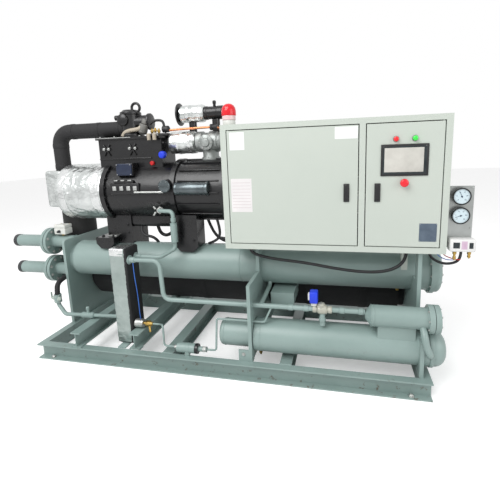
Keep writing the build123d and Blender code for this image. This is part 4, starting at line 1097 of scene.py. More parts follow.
# A bare copper pipe runs between the two cylinders from the valves at the left to a black clamp,
# with brass fittings, two pale capacitors and a black rubber loop beside it.
copper = worn_finish("copper", (0.55, 0.20, 0.09), (0.66, 0.30, 0.15), 30.0, 0.3, 140.0, 0.05, 0.95)
copper_line = tube(
    "copper_oil_pipe",
    [spot(0.800, 0.500, 1.452), spot(0.850, 0.500, 1.456), spot(1.100, 0.500, 1.460), spot(1.150, 0.505, 1.460),
     spot(1.160, 0.535, 1.440)], 0.0075,
)
dress(copper_line, copper)
clamp_parts = [
    turned("clamp", spot(1.100, 0.500, 1.4595), right_way,
           ((0, 0.009), (0, 0.020), (0.014, 0.020), (0.014, 0.015), (0.032, 0.015), (0.032, 0.019), (0.046, 0.019),
            (0.046, 0.009)), 32, 0.001),
    tube("loop", [spot(0.668, 0.500, 1.498), spot(0.690, 0.500, 1.520), spot(0.740, 0.500, 1.524),
                  spot(0.768, 0.500, 1.512), spot(0.772, 0.500, 1.470), spot(0.782, 0.500, 1.440)], 0.0085),
    turned("collar", spot(0.762, 0.500, 1.462), right_way, ((0, 0.022), (0.040, 0.022), (0.046, 0.014)), 28, 0.001),
    sawn("tray", spot(0.650, 0.470, 1.420), spot(0.800, 0.560, 1.436), 0.003),
]
dress(joined("copper_pipe_clamp", clamp_parts), black_rubber)
fitting_parts = []
for along, height in ((0.692, 1.447), (0.716, 1.452), (0.742, 1.447)):
    fitting_parts.append(
        turned("fitting", spot(along, 0.478, height - 0.012), up_way,
               ((0, 0.008), (0.008, 0.008), (0.008, 0.011), (0.022, 0.011), (0.022, 0.007), (0.032, 0.007)), 6, 0.0006)
    )
dress(joined("brass_oil_fittings", fitting_parts), brass)
capacitors = []
for along in (0.702, 0.742):
    capacitors.append(
        turned("can", spot(along, 0.410, 1.390), up_way,
               ((0, 0.0115), (0.004, 0.0125), (0.040, 0.0125), (0.043, 0.010)), 24, 0.0006)
    )
dress(joined("pale_terminal_cans", capacitors), conduit_finish)
can_bar = sawn("terminal_can_bar", spot(0.695, 0.452, 1.366), spot(0.780, 0.500, 1.377), 0.002)
dress(can_bar, black_enamel)


# The suction pipe. A wide pipe under black foam rises from the foil box, turns over to the right
# and ends at the stop valve. Strips of foam cover the joints of its lagging.
nodes["suction_pipe"].data.materials.clear()
nodes["suction_pipe"].data.materials.append(foam)
suction_x = corner.x - 0.092
suction_radius = 0.053
suction_strips = []
for height in (1.215, 1.365):
    suction_strips.append(
        turned("strip", (suction_x, compressor_y, height), up_way,
               ((0, suction_radius - 0.001), (0, suction_radius + 0.002), (0.03, suction_radius + 0.002),
                (0.03, suction_radius - 0.001)), 48, 0.0008)
    )
for along in (0.020, 0.235, 0.400):
    suction_strips.append(
        turned("strip", (corner.x + along, compressor_y, 1.480), right_way,
               ((0, suction_radius - 0.001), (0, suction_radius + 0.002), (0.03, suction_radius + 0.002),
                (0.03, suction_radius - 0.001)), 48, 0.0008)
    )
dress(joined("suction_foam_strips", suction_strips), foam)


# The plate heat exchanger. A narrow upright box whose front, left and rear are under foil with
# many cross wrinkles, while its right side is left as bare black foam: painted shade for the side turned from the
# light.
exchanger_low, exchanger_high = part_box("plate_heat_exchanger")
exchanger_foil = foil_finish("exchanger_foil", (0.30, 0.36, 0.34), (0.46, 0.52, 0.50), 22.0, 0.3, 0.36)
# The black foam core shows only at the right side, where it is painted shade, not insulation seen there.
exchanger_core_painted_shade = sawn(
    "exchanger_foam_painted_shade", (exchanger_low[0] + 0.012, exchanger_low[1] + 0.003, exchanger_low[2]),
    (exchanger_high[0], exchanger_high[1] - 0.003, exchanger_high[2] - 0.002), 0.009, 3,
)
dress(exchanger_core_painted_shade, foam)
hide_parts("plate_heat_exchanger")
wrap_low = (exchanger_low[0], exchanger_low[1], exchanger_low[2] + 0.004)
wrap_high = (exchanger_high[0] - 0.011, exchanger_high[1], exchanger_high[2])
exchanger_wrap = sawn("exchanger_foil_wrap", wrap_low, wrap_high, 0.009, 3)
bpy.ops.object.mode_set(mode="EDIT")
bpy.ops.mesh.select_all(action="SELECT")
bpy.ops.mesh.subdivide(number_cuts=3)
bpy.ops.mesh.select_all(action="DESELECT")
bpy.ops.object.mode_set(mode="OBJECT")
slices = 72
for step in range(1, slices):
    height = wrap_low[2] + (wrap_high[2] - wrap_low[2]) * step / slices
    bpy.ops.object.mode_set(mode="EDIT")
    bpy.ops.mesh.select_all(action="SELECT")
    bpy.ops.mesh.bisect(plane_co=(0, 0, height), plane_no=(0, 0, 1))
    bpy.ops.object.mode_set(mode="OBJECT")
wrinkles = bpy.data.textures.new("cross_wrinkles", "CLOUDS")
wrinkles.noise_scale = 0.5
wrinkles.noise_depth = 3
bpy.ops.object.empty_add(location=(0, 0, 0))
wrinkle_frame = bpy.context.object
wrinkle_frame.scale = (0.35, 0.35, 0.034)
bpy.context.view_layer.objects.active = exchanger_wrap
push = exchanger_wrap.modifiers.new("wrinkles", "DISPLACE")
push.texture = wrinkles
push.texture_coords = "OBJECT"
push.texture_coords_object = wrinkle_frame
push.strength = 0.006
bpy.context.view_layer.update()
bpy.ops.object.modifier_apply(modifier=push.name)
bpy.data.objects.remove(wrinkle_frame)
crumple(exchanger_wrap, 0.004, 0.07)
bpy.ops.object.select_all(action="DESELECT")
exchanger_wrap.select_set(True)
bpy.ops.object.shade_smooth_by_angle(angle=math.radians(45))
dress(exchanger_wrap, exchanger_foil)
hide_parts("plate_heat_exchanger")
exchanger_top = sawn(
    "exchanger_top_tape", (exchanger_low[0] - 0.001, exchanger_low[1] - 0.0012, exchanger_high[2] - 0.050),
    (exchanger_high[0] - 0.014, exchanger_low[1] + 0.10, exchanger_high[2] + 0.0012), 0.009, 3,
)
dress(exchanger_top, tape_foil)
exchanger_foot = sawn(
    "exchanger_foot", (exchanger_low[0] + 0.03, exchanger_low[1] - 0.052, exchanger_low[2] - 0.006),
    (exchanger_low[0] + 0.085, exchanger_low[1] + 0.02, exchanger_low[2] + 0.002), 0.002,
)
dress(exchanger_foot, vessel_paint)


# The refrigerant pipes. Painted copper pipes brazed into sockets, with a sleeve of foam tape on
# the vapour pipe's upright run, flare nuts where they meet the exchanger, and pipe clips.
for name in ("liquid_pipe", "vapour_pipe", "feed_pipe", "small_liquid_line", "expansion_valve"):
    nodes[name].data.materials.clear()
    nodes[name].data.materials.append(vessel_paint)
port_z = 0.655
front_port = 0.138
rear_port = 0.212
lower_port_z = 0.236
socket_parts = []
for across, height, radius in ((front_port, port_z, 0.0145), (rear_port, port_z, 0.0135)):
    socket_parts.append(
        turned("socket", (exchanger_high[0] - 0.002, corner.y + across, height), right_way,
               ((0, radius + 0.014), (0.008, radius + 0.014), (0.010, radius + 0.005), (0.040, radius + 0.004), (0.044, radius)), 32, 0.001)
    )
for along, radius in ((1.395, 0.0145), (1.650, 0.0145), (1.735, 0.0145), (1.930, 0.0145), (2.030, 0.0145)):
    socket_parts.append(
        turned("socket", spot(along, 0.100, 0.424), right_way,
               ((0, radius - 0.001), (0.002, radius + 0.003), (0.026, radius + 0.003), (0.028, radius - 0.001)), 28)
    )
socket_parts.append(
    turned("socket", spot(0.888, 0.295, 0.868), up_way, ((0, 0.013), (0.002, 0.0165), (0.024, 0.0165), (0.026, 0.013)), 28)
)
socket_parts.append(
    turned("socket", spot(0.505, 0.212, 0.2305), left_way, ((0, 0.0125), (0.002, 0.0165), (0.030, 0.0165), (0.032, 0.0125)), 28)
)
dress(joined("pipe_sockets", socket_parts), vessel_paint)
tee_flange = [
    turned("fitting", spot(0.775, 0.352, 0.935), front_way,
           ((0, 0.024), (0.010, 0.024), (0.010, 0.018), (0.026, 0.018)), 6, 0.001),
    turned("spindle", spot(0.752, 0.330, 0.925), Vector((-0.6, -0.2, -0.9)),
           ((0, 0.008), (0.028, 0.006)), 12, 0.001),
    turned("spindle", spot(0.752, 0.330, 0.945), Vector((-0.6, -0.2, 0.9)),
           ((0, 0.008), (0.022, 0.006)), 12, 0.001),
]
dress(joined("vapour_pipe_union", tee_flange), zinc)
valve_rings = []
for along in (0.200, 0.262):
    valve_rings.append(
        turned("ring", spot(along, 0.212, 0.222), right_way, ((0, 0.0225), (0.014, 0.0225)), 6, 0.001)
    )
valve_rings.append(
    turned("stem_cap", spot(0.241, 0.212, 0.262), up_way, ((0, 0.0125), (0.016, 0.0125), (0.022, 0.008)), 20, 0.001)
)
dress(joined("feed_valve_nuts", valve_rings), vessel_paint)
angle_valve = [
    turned("lower_nut", spot(-0.004, 0.225, 0.297), up_way, ((0, 0.0255), (0.016, 0.0255)), 6, 0.001),
    turned("upper_nut", spot(-0.004, 0.225, 0.337), up_way, ((0, 0.0255), (0.016, 0.0255)), 6, 0.001),
    turned("bonnet", spot(-0.020, 0.225, 0.326), left_way, ((0, 0.016), (0.014, 0.016), (0.014, 0.011), (0.030, 0.011)), 6, 0.001),
    turned("cap", spot(0.012, 0.225, 0.326), Vector((0.5, -1, 0)), ((0, 0.014), (0.020, 0.014), (0.024, 0.010)), 20, 0.001),
    sawn("handle", spot(-0.056, 0.219, 0.321), spot(-0.051, 0.231, 0.368), 0.0015),
]
pale_valve = worn_finish("pale_valve_paint", (0.33, 0.40, 0.36), (0.42, 0.48, 0.43), 16.0, 0.4, 90.0, 0.15)
dress(joined("feed_angle_valve", angle_valve), pale_valve)
feed_hose = tube(
    "feed_hose",
    [spot(-0.004, 0.225, 0.352), spot(-0.002, 0.226, 0.385), spot(-0.008, 0.240, 0.420), spot(-0.016, 0.290, 0.440),
     spot(-0.020, 0.380, 0.445), spot(-0.024, 0.566, 0.440)], 0.017,
)
dress(feed_hose, foam)

# The two valves in the small line: a bright headed valve and its brass body at the exchanger.
small_low, small_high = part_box("small_liquid_valve")
small_y = corner.y + front_port
head_start = exchanger_high[0]
valve_head = turned(
    "small_valve_head", (head_start, small_y, lower_port_z), right_way,
    ((0, 0.016), (0.003, 0.016), (0.003, 0.024), (0.010, 0.0285), (0.046, 0.0285), (0.050, 0.0255),
     (0.062, 0.0255), (0.062, 0.012)), 40, 0.001,
)
dress(valve_head, zinc)
valve_brass = [
    turned("neck", (head_start + 0.060, small_y, lower_port_z), right_way,
           ((0, 0.009), (0.020, 0.009)), 24),
    turned("body", (head_start + 0.078, small_y, lower_port_z), right_way,
           ((0, 0.018), (0.004, 0.020), (0.024, 0.020), (0.030, 0.014), (0.046, 0.012)), 8, 0.0012),
    turned("foot", (head_start + 0.098, small_y, lower_port_z), -up_way,
           ((0, 0.012), (0.023, 0.012), (0.023, 0.009), (0.0232, 0.008)), 20, 0.001),
    turned("spindle", (head_start + 0.098, small_y, lower_port_z), Vector((0.25, -0.35, -1)),
           ((0, 0.008), (0.052, 0.007), (0.056, 0.004)), 16, 0.001),
]
small_brass = joined("small_valve_brass", valve_brass)
dress(small_brass, brass)
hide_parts("small_liquid_valve")
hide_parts("small_liquid_valve")
drier_nuts = [
    turned("nut", spot(0.951, 0.060, 0.140), right_way, ((0, 0.0115), (0.020, 0.0115)), 6, 0.001),
    turned("nut", spot(1.136, 0.060, 0.140), right_way, ((0, 0.0185), (0.022, 0.0185)), 6, 0.001),
]
dress(joined("small_drier_nuts", drier_nuts), zinc)
drier_band = turned(
    "small_drier_band", spot(1.089, 0.060, 0.140), right_way,
    ((0, 0.0285), (0, 0.0302), (0.0192, 0.0302), (0.0192, 0.0285)), 40, 0.0006,
)
dress(drier_band, black_enamel)
clip_band = turned(
    "small_drier_clip", spot(1.030, 0.060, 0.140), right_way,
    ((0, 0.0285), (0, 0.0305), (0.022, 0.0305), (0.022, 0.0285)), 40, 0.0006,
)
dress(clip_band, vessel_paint)

# The solenoid valve in the liquid pipe: a brass body with square ends, a plated bonnet, and
# a bright blue coil with a pale plug socket on its left side.
solenoid_low, solenoid_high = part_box("solenoid_valve")
solenoid_x = solenoid_low[0] + 0.026 + 0.052
solenoid_y = (solenoid_low[1] + solenoid_high[1]) / 2
pipe_z = 0.424
solenoid_body_parts = [
    turned("left_end", (solenoid_x - 0.052, solenoid_y, pipe_z), right_way,
           ((0, 0.0148), (0, 0.021), (0.020, 0.021), (0.020, 0.017), (0.030, 0.017)), 8, 0.001),
    turned("right_end", (solenoid_x + 0.052, solenoid_y, pipe_z), left_way,
           ((0, 0.0148), (0, 0.021), (0.020, 0.021), (0.020, 0.017), (0.030, 0.017)), 8, 0.001),
    turned("middle", (solenoid_x - 0.028, solenoid_y, pipe_z), right_way,
           ((0, 0.017), (0.006, 0.024), (0.028, 0.027), (0.050, 0.024), (0.056, 0.017)), 32, 0.001),
    turned("bonnet", (solenoid_x - 0.006, solenoid_y, pipe_z + 0.014), up_way,
           ((0, 0.026), (0.012, 0.026), (0.012, 0.020), (0.021, 0.020)), 6, 0.001),
]
solenoid_body = joined("solenoid_valve_body", solenoid_body_parts)
pale_cast = worn_finish("pale_cast_brass", (0.36, 0.36, 0.30), (0.50, 0.50, 0.43), 30.0, 0.4, 120.0, 0.15, 0.3)
dress(solenoid_body, pale_cast)
solenoid_stub = turned(
    "solenoid_stub", (solenoid_x, solenoid_y, solenoid_low[2]), up_way,
    ((0, 0.013), (0.003, 0.015), (0.026, 0.015), (0.028, 0.019), (0.044, 0.019), (0.046, 0.015), (0.082, 0.015)), 24, 0.0008,
)
dress(solenoid_stub, vessel_paint)
coil_low = (solenoid_low[0], solenoid_y - 0.027, solenoid_high[2] - 0.070)
coil_high = (solenoid_low[0] + 0.054, solenoid_y + 0.027, solenoid_high[2])
coil_parts = [
    sawn("coil", (coil_low[0] + 0.010, coil_low[1], coil_low[2] + 0.004), coil_high, 0.007, 3),
    sawn("yoke", (coil_low[0] + 0.018, coil_low[1] - 0.001, coil_low[2] + 0.014), (coil_high[0] - 0.006, coil_high[1] + 0.001, coil_high[2] - 0.012), 0.003),
]
solenoid_coil = joined("solenoid_coil", coil_parts)
dress(solenoid_coil, blue_plastic)
coil_trim = [
    sawn("plug", (coil_low[0], solenoid_y - 0.014, coil_low[2] + 0.018), (coil_low[0] + 0.014, solenoid_y + 0.014, coil_high[2] - 0.014), 0.003, 3),
    turned("collar", (coil_low[0] + 0.032, solenoid_y, coil_low[2] - 0.014), up_way, ((0, 0.017), (0.020, 0.017)), 24, 0.001),
]
dress(joined("solenoid_plug", coil_trim), cream_plastic)
coil_nut = turned(
    "solenoid_coil_nut", (coil_low[0] + 0.032, solenoid_y, coil_high[2] - 0.001), up_way, ((0, 0.008), (0.0008, 0.008)), 6
)
dress(coil_nut, zinc)
for piece in (solenoid_body, solenoid_stub, solenoid_coil):
    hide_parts("solenoid_valve")


# The control cabinet, powder coated in a light grey green. Its two doors lie flush in the frame,
# each with a rubber seal behind it, and their places for signs carry plain film.
cabinet_paint = worn_finish("cabinet_paint", (0.465, 0.510, 0.462), (0.500, 0.540, 0.490), 1.6, 0.36, 420.0, 0.05)
for name in ("cabinet_body", "left_door", "right_door"):
    nodes[name].data.materials.clear()
    nodes[name].data.materials.append(cabinet_paint)
left_door_low, left_door_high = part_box("left_door")
right_door_low, right_door_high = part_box("right_door")
door_front = left_door_low[1]
seal_rubber = worn_finish("door_seal", (0.012, 0.012, 0.013), (0.022, 0.022, 0.024), 12.0, 0.6)
for low, high, body in ((left_door_low, left_door_high, "left_leaf"), (right_door_low, right_door_high, "right_leaf")):
    strips = []
    inner_low = (low[0] + 0.016, low[2] + 0.014)
    inner_high = (high[0] - 0.016, high[2] - 0.014)
    depth_low, depth_high = door_front + 0.0021, door_front + 0.012
    for start, end in (
        ((inner_low[0], inner_low[1]), (inner_high[0], inner_low[1] + 0.012)),
        ((inner_low[0], inner_high[1] - 0.012), (inner_high[0], inner_high[1])),
        ((inner_low[0], inner_low[1] + 0.012), (inner_low[0] + 0.012, inner_high[1] - 0.012)),
        ((inner_high[0] - 0.012, inner_low[1] + 0.012), (inner_high[0], inner_high[1] - 0.012)),
    ):
        strips.append(sawn("strip", (start[0], depth_low, start[1]), (end[0], depth_high, end[1]), 0.002))
    dress(joined(body + "_seal", strips), seal_rubber, body)
film = worn_finish("plain_film", (0.72, 0.74, 0.73), (0.78, 0.79, 0.78), 20.0, 0.4, 200.0, 0.02)
faded_film = worn_finish("faded_film", (0.66, 0.64, 0.64), (0.74, 0.71, 0.71), 9.0, 0.45, 200.0, 0.02)
film_sheets = []
for low, high in (((1.334, 1.303), (1.418, 1.399)), ((1.902, 1.341), (2.017, 1.402))):
    film_sheets.append(sawn("film", spot(low[0], 0.1496, low[1]), spot(high[0], 0.1501, high[1])))
dress(joined("plain_door_film", film_sheets), film, "left_leaf")
wide_sheet = sawn("faded_door_film", spot(1.331, 0.1496, 0.958), spot(1.451, 0.1501, 1.146))
dress(wide_sheet, faded_film, "left_leaf")
rows = []
for step in range(9):
    height = 1.122 - 0.0175 * step
    rows.append(sawn("row", spot(1.339, 0.1492, height), spot(1.443, 0.1496, height + 0.0022)))
row_tint = worn_finish("row_tint", (0.52, 0.45, 0.46), (0.58, 0.52, 0.53), 30.0, 0.5)
dress(joined("faded_film_rows", rows), row_tint, "left_leaf")
plate_metal = worn_finish("blue_grey_plate", (0.085, 0.115, 0.155), (0.14, 0.18, 0.23), 26.0, 0.32, 80.0, 0.12, 0.7)
maker_plate = [
    sawn("plate", spot(2.327, 0.1490, 0.807), spot(2.411, 0.1501, 0.902), 0.0004),
    sawn("field", spot(2.333, 0.1486, 0.842), spot(2.405, 0.1491, 0.887), 0.0003),
    sawn("field", spot(2.333, 0.1486, 0.816), spot(2.405, 0.1491, 0.834), 0.0003),
]
dress(joined("blank_plate", maker_plate), plate_metal, "right_leaf")
rivets = []
for along, height in ((2.331, 0.811), (2.407, 0.811), (2.331, 0.898), (2.407, 0.898)):
    rivets.append(turned("rivet", spot(along, 0.1491, height), front_way, ((0, 0.0018), (0.0008, 0.0012)), 12))
dress(joined("blank_plate_rivets", rivets), zinc, "right_leaf")

# The door locks are flat black swing handles, each with a keyhole cover at its lower end.
lock_black = worn_finish("lock_black", (0.006, 0.006, 0.007), (0.012, 0.012, 0.013), 24.0, 0.34, 160.0, 0.06)
for name, body in (("left_door_handle", "left_leaf"), ("right_door_handle", "right_leaf")):
    low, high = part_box(name)
    handle = [
        sawn("base", (low[0], low[1] + 0.008, low[2]), high, 0.0035, 3),
        sawn("lever", (low[0] + 0.004, low[1], low[2] + 0.016), (high[0] - 0.004, low[1] + 0.0085, high[2] - 0.004), 0.003, 3),
        turned("keyhole", ((low[0] + high[0]) / 2, low[1] + 0.009, low[2] + 0.008), front_way,
               ((0, 0.0055), (0.002, 0.0055), (0.003, 0.004)), 20),
    ]
    lock = joined(name + "_lock", handle)
    dress(lock, lock_black, body)
    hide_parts(name)

# The right door carries a touch screen in a black frame, two pilot lamps over it and a red
# mushroom stop button below.
screen_low, screen_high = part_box("touch_screen")
bezel = sawn("touch_screen_bezel", (screen_low[0], screen_low[1] + 0.0012, screen_low[2]), screen_high, 0.0028, 3)
dress(bezel, lock_black, "right_leaf")
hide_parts("touch_screen")
glass = worn_finish("screen_glass", (0.46, 0.45, 0.41), (0.86, 0.84, 0.78), 2.1, 0.14, 20.0, 0.0, 0.35, 0.34)
pane = sawn(
    "touch_screen_glass", (screen_low[0] + 0.017, screen_low[1], screen_low[2] + 0.020),
    (screen_high[0] - 0.024, screen_low[1] + 0.0014, screen_high[2] - 0.018),
)
dress(pane, glass, "right_leaf")
dark_glass = worn_finish("dark_glass", (0.006, 0.010, 0.012), (0.02, 0.03, 0.034), 14.0, 0.12)
pane_edge = sawn(
    "touch_screen_border", (screen_low[0] + 0.009, screen_low[1] + 0.0006, screen_low[2] + 0.010),
    (screen_high[0] - 0.010, screen_low[1] + 0.0016, screen_high[2] - 0.010), 0.0006,
)
dress(pane_edge, dark_glass, "right_leaf")


def glowing(name, colour, glow):
    """Clear coloured plastic with a little light in it."""
    material = worn_finish(name, colour, tuple(value * 1.25 for value in colour), 30.0, 0.18, 40.0, 0.02)
    shader = material.node_tree.nodes["Principled BSDF"]
    shader.inputs["Emission Color"].default_value = (*colour, 1)
    shader.inputs["Emission Strength"].default_value = glow
    return material


red_lens = glowing("red_lens", (0.58, 0.008, 0.012), 0.25)
green_lens = glowing("green_lens", (0.03, 0.50, 0.05), 0.35)
lamp_rings = []
for name, along, height, finish in (("red_lamp", 2.201, 1.330, red_lens), ("green_lamp", 2.290, 1.331, green_lens)):
    lens = turned(
        name, spot(along, 0.145, height), front_way,
        ((0, 0.0125), (0.009, 0.0125), (0.0135, 0.0105), (0.0160, 0.0065), (0.0168, 0.002)), 32,
    )
    dress(lens, finish, "right_leaf")
    lamp_rings.append(
        turned("ring", spot(along, 0.1501, height), front_way, ((0, 0.0152), (0.004, 0.0152), (0.0065, 0.0132)), 36)
    )
lamp_rings.append(
    turned("light", spot(2.343, 0.1442, 1.294), front_way, ((0, 0.0022), (0.0018, 0.0016)), 12)
)
lamp_trim = worn_finish("lamp_trim", (0.30, 0.31, 0.30), (0.42, 0.43, 0.42), 40.0, 0.25, 160.0, 0.04, 0.9)
dress(joined("lamp_rings", lamp_rings), lamp_trim, "right_leaf")
stop_low, stop_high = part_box("stop_button")
stop_centre = Vector(((stop_low[0] + stop_high[0]) / 2, stop_high[1], (stop_low[2] + stop_high[2]) / 2))
stop_head = turned(
    "stop_button_head", stop_centre - Vector((0, 0.016, 0)), front_way,
    ((0, 0.014), (0.001, 0.019), (0.004, 0.0208), (0.009, 0.0208), (0.0135, 0.0185), (0.0165, 0.013), (0.0178, 0.004)), 44,
)
# The stop button is no lamp, so its small emission is a painted glow.
stop_red_painted_glow = glowing("stop_red_painted_glow", (0.62, 0.012, 0.022), 0.12)
dress(stop_head, stop_red_painted_glow, "right_leaf")
stop_collar = turned(
    "stop_button_collar", stop_centre, front_way,
    ((0, 0.0175), (0.004, 0.0175), (0.006, 0.0135), (0.017, 0.0125)), 36, 0.0006,
)
dress(stop_collar, lock_black, "right_leaf")
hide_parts("stop_button")
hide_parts("stop_button")
screen_back = [
    sawn("housing", (screen_low[0] + 0.012, door_front + 0.0021, screen_low[2] + 0.012),
         (screen_high[0] - 0.012, door_front + 0.026, screen_high[2] - 0.012), 0.003),
    turned("block", stop_centre + Vector((0, 0.0021, 0)), rear_way, ((0, 0.0165), (0.022, 0.0165)), 24, 0.001),
]
dress(joined("screen_back", screen_back), lock_black, "right_leaf")

# The beacon on the roof has a red dome over a clear ring on a white base.
beacon_low, beacon_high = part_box("beacon")
beacon_foot = Vector(((beacon_low[0] + beacon_high[0]) / 2, (beacon_low[1] + beacon_high[1]) / 2, beacon_low[2]))
beacon_dome = turned(
    "beacon_dome", beacon_foot + Vector((0, 0, 0.052)), up_way,
    ((0, 0.038), (0.0015, 0.0402), (0.005, 0.0408), (0.026, 0.0405), (0.042, 0.0375), (0.055, 0.029), (0.063, 0.017), (0.0658, 0.005)), 48,
)
dress(beacon_dome, glowing("beacon_red", (0.56, 0.004, 0.012), 0.10))
beacon_ring = turned(
    "beacon_ring", beacon_foot + Vector((0, 0, 0.027)), up_way,
    ((0, 0.0355), (0.003, 0.0378), (0.020, 0.0378), (0.025, 0.0368)), 48,
)
dress(beacon_ring, worn_finish("pale_lens", (0.62, 0.40, 0.40), (0.80, 0.66, 0.65), 26.0, 0.2))
beacon_base = turned(
    "beacon_base", beacon_foot, up_way, ((0, 0.0355), (0.024, 0.0355), (0.0272, 0.034)), 48, 0.0012,
)
dress(beacon_base, cream_plastic)
for piece in (beacon_dome, beacon_ring, beacon_base):
    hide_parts("beacon")

# Inside the cabinet, a galvanised plate carries three rows of switchgear between slotted ducts.
galvanised = worn_finish("galvanised_sheet", (0.42, 0.44, 0.44), (0.58, 0.60, 0.60), 9.0, 0.4, 40.0, 0.06, 0.8)
nodes["mounting_plate"].data.materials.clear()
nodes["mounting_plate"].data.materials.append(galvanised)
plate_low, plate_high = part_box("mounting_plate")
gear_front = plate_low[1]
row_pitch = (plate_high[2] - plate_low[2]) / 3
column_pitch = (plate_high[0] - plate_low[0]) / 7
dark_gear = []
pale_gear = []
gear_labels = []
gear_random = random.Random(4)
for row in range(3):
    for column in range(7):
        low_x = plate_low[0] + column_pitch * column + (column_pitch - 0.090) / 2
        low_z = plate_low[2] + row_pitch * row + (row_pitch - 0.110) / 2
        shell = sawn(
            "shell", (low_x - 0.0006, gear_front - 0.0006, low_z - 0.0006),
            (low_x + 0.0906, gear_front + 0.0702, low_z + 0.1106), 0.002, 1,
        )
        front = sawn("front", (low_x + 0.010, gear_front - 0.006, low_z + 0.026), (low_x + 0.080, gear_front, low_z + 0.084), 0.002, 1)
        if gear_random.random() < 0.55:
            dark_gear += [shell, front]
        else:
            pale_gear += [shell]
            dark_gear += [front]
        for step in range(3):
            screw_x = low_x + 0.018 + 0.027 * step
            for height in (low_z + 0.012, low_z + 0.098):
                gear_labels.append(
                    turned("screw", (screw_x, gear_front - 0.0004, height), front_way, ((0, 0.005), (0.0014, 0.0045)), 10)
                )
dress(joined("dark_switchgear", dark_gear), cap_plastic)
dress(joined("pale_switchgear", pale_gear), cream_plastic)
dress(joined("switchgear_screws", gear_labels), zinc)
ducts = []
for step in (0.06, 1, 2, 2.94):
    duct_z = plate_low[2] + row_pitch * step
    ducts.append(
        sawn("duct", (plate_low[0] + 0.012, gear_front + 0.020, duct_z - 0.017),
             (plate_high[0] - 0.012, gear_front + 0.0702, duct_z + 0.017), 0.0012, 1)
    )
duct_grey = worn_finish("duct_grey", (0.30, 0.32, 0.33), (0.36, 0.38, 0.39), 12.0, 0.5)
dress(joined("wiring_ducts", ducts), duct_grey)
leads = []
for row in range(3):
    for column in range(7):
        low_x = plate_low[0] + column_pitch * column + (column_pitch - 0.090) / 2
        top_z = plate_low[2] + row_pitch * row + (row_pitch + 0.110) / 2
        for step in range(3):
            lead_x = low_x + 0.018 + 0.027 * step
            leads.append(
                sawn("lead", (lead_x - 0.0016, gear_front + 0.028, top_z), (lead_x + 0.0016, gear_front + 0.0312, top_z + row_pitch - 0.128))
            )
lead_blue = worn_finish("lead_blue", (0.02, 0.05, 0.22), (0.03, 0.08, 0.3), 30.0, 0.45)
dress(joined("switchgear_leads", leads), lead_blue)
glands = []
for along, across, radius in ((1.403, 0.250, 0.017), (2.288, 0.250, 0.017), (2.404, 0.258, 0.015), (1.352, 0.300, 0.013), (1.470, 0.300, 0.013)):
    glands.append(
        turned("gland", spot(along, across, 0.742), -up_way,
               ((0, radius), (0.007, radius), (0.007, radius * 0.86), (0.021, radius * 0.8), (0.024, radius * 0.62)), 12, 0.0008)
    )
dress(joined("cabinet_glands", glands), lock_black)
lid_screws = []
for along in (1.300, 1.680, 2.060, 2.440):
    for height in (0.765, 1.092, 1.419):
        lid_screws.append(
            turned("screw", spot(along, 0.400, height), rear_way, ((0, 0.006), (0.001, 0.006), (0.003, 0.004)), 16)
        )
dress(joined("cabinet_rear_screws", lid_screws), zinc)


# The gauge panel at the cabinet's side. A bright steel sheet holds two pressure gauges and
# a pressure controller with two dark windows and brass connections below.
bright_steel = worn_finish("bright_steel_sheet", (0.36, 0.38, 0.37), (0.48, 0.50, 0.49), 4.0, 0.3, 300.0, 0.06, 0.9)
nodes["gauge_panel"].data.materials.clear()
nodes["gauge_panel"].data.materials.append(bright_steel)
dial_white = worn_finish("dial_white", (0.52, 0.63, 0.68), (0.62, 0.72, 0.76), 12.0, 0.3, 90.0, 0.01)
gauge_rim = worn_finish("gauge_rim", (0.010, 0.011, 0.012), (0.05, 0.053, 0.055), 30.0, 0.22, 90.0, 0.03, 0.5)
dial_ink = worn_finish("dial_ink", (0.010, 0.025, 0.06), (0.015, 0.035, 0.08), 30.0, 0.5)


def dial_numbers(centre, radius, values):
    """Numbers round a gauge's dial, from lower left over the top to lower right."""
    numbers = []
    for step, value in enumerate(values):
        angle = math.radians(225 - 270 * step / (len(values) - 1))
        bpy.ops.object.text_add()
        text = bpy.context.object
        text.data.body = str(value)
        text.data.size = 0.0085
        text.data.resolution_u = 2
        text.data.align_x = "CENTER"
        text.data.align_y = "CENTER"
        text.data.extrude = 0.0002
        bpy.ops.object.convert(target="MESH")
        number = bpy.context.object
        number.rotation_euler = (math.radians(90), 0, 0)
        number.location = centre + Vector((math.cos(angle) * radius, 0, math.sin(angle) * radius))
        bpy.ops.object.transform_apply(location=True, rotation=True, scale=True)
        numbers.append(number)
    return numbers


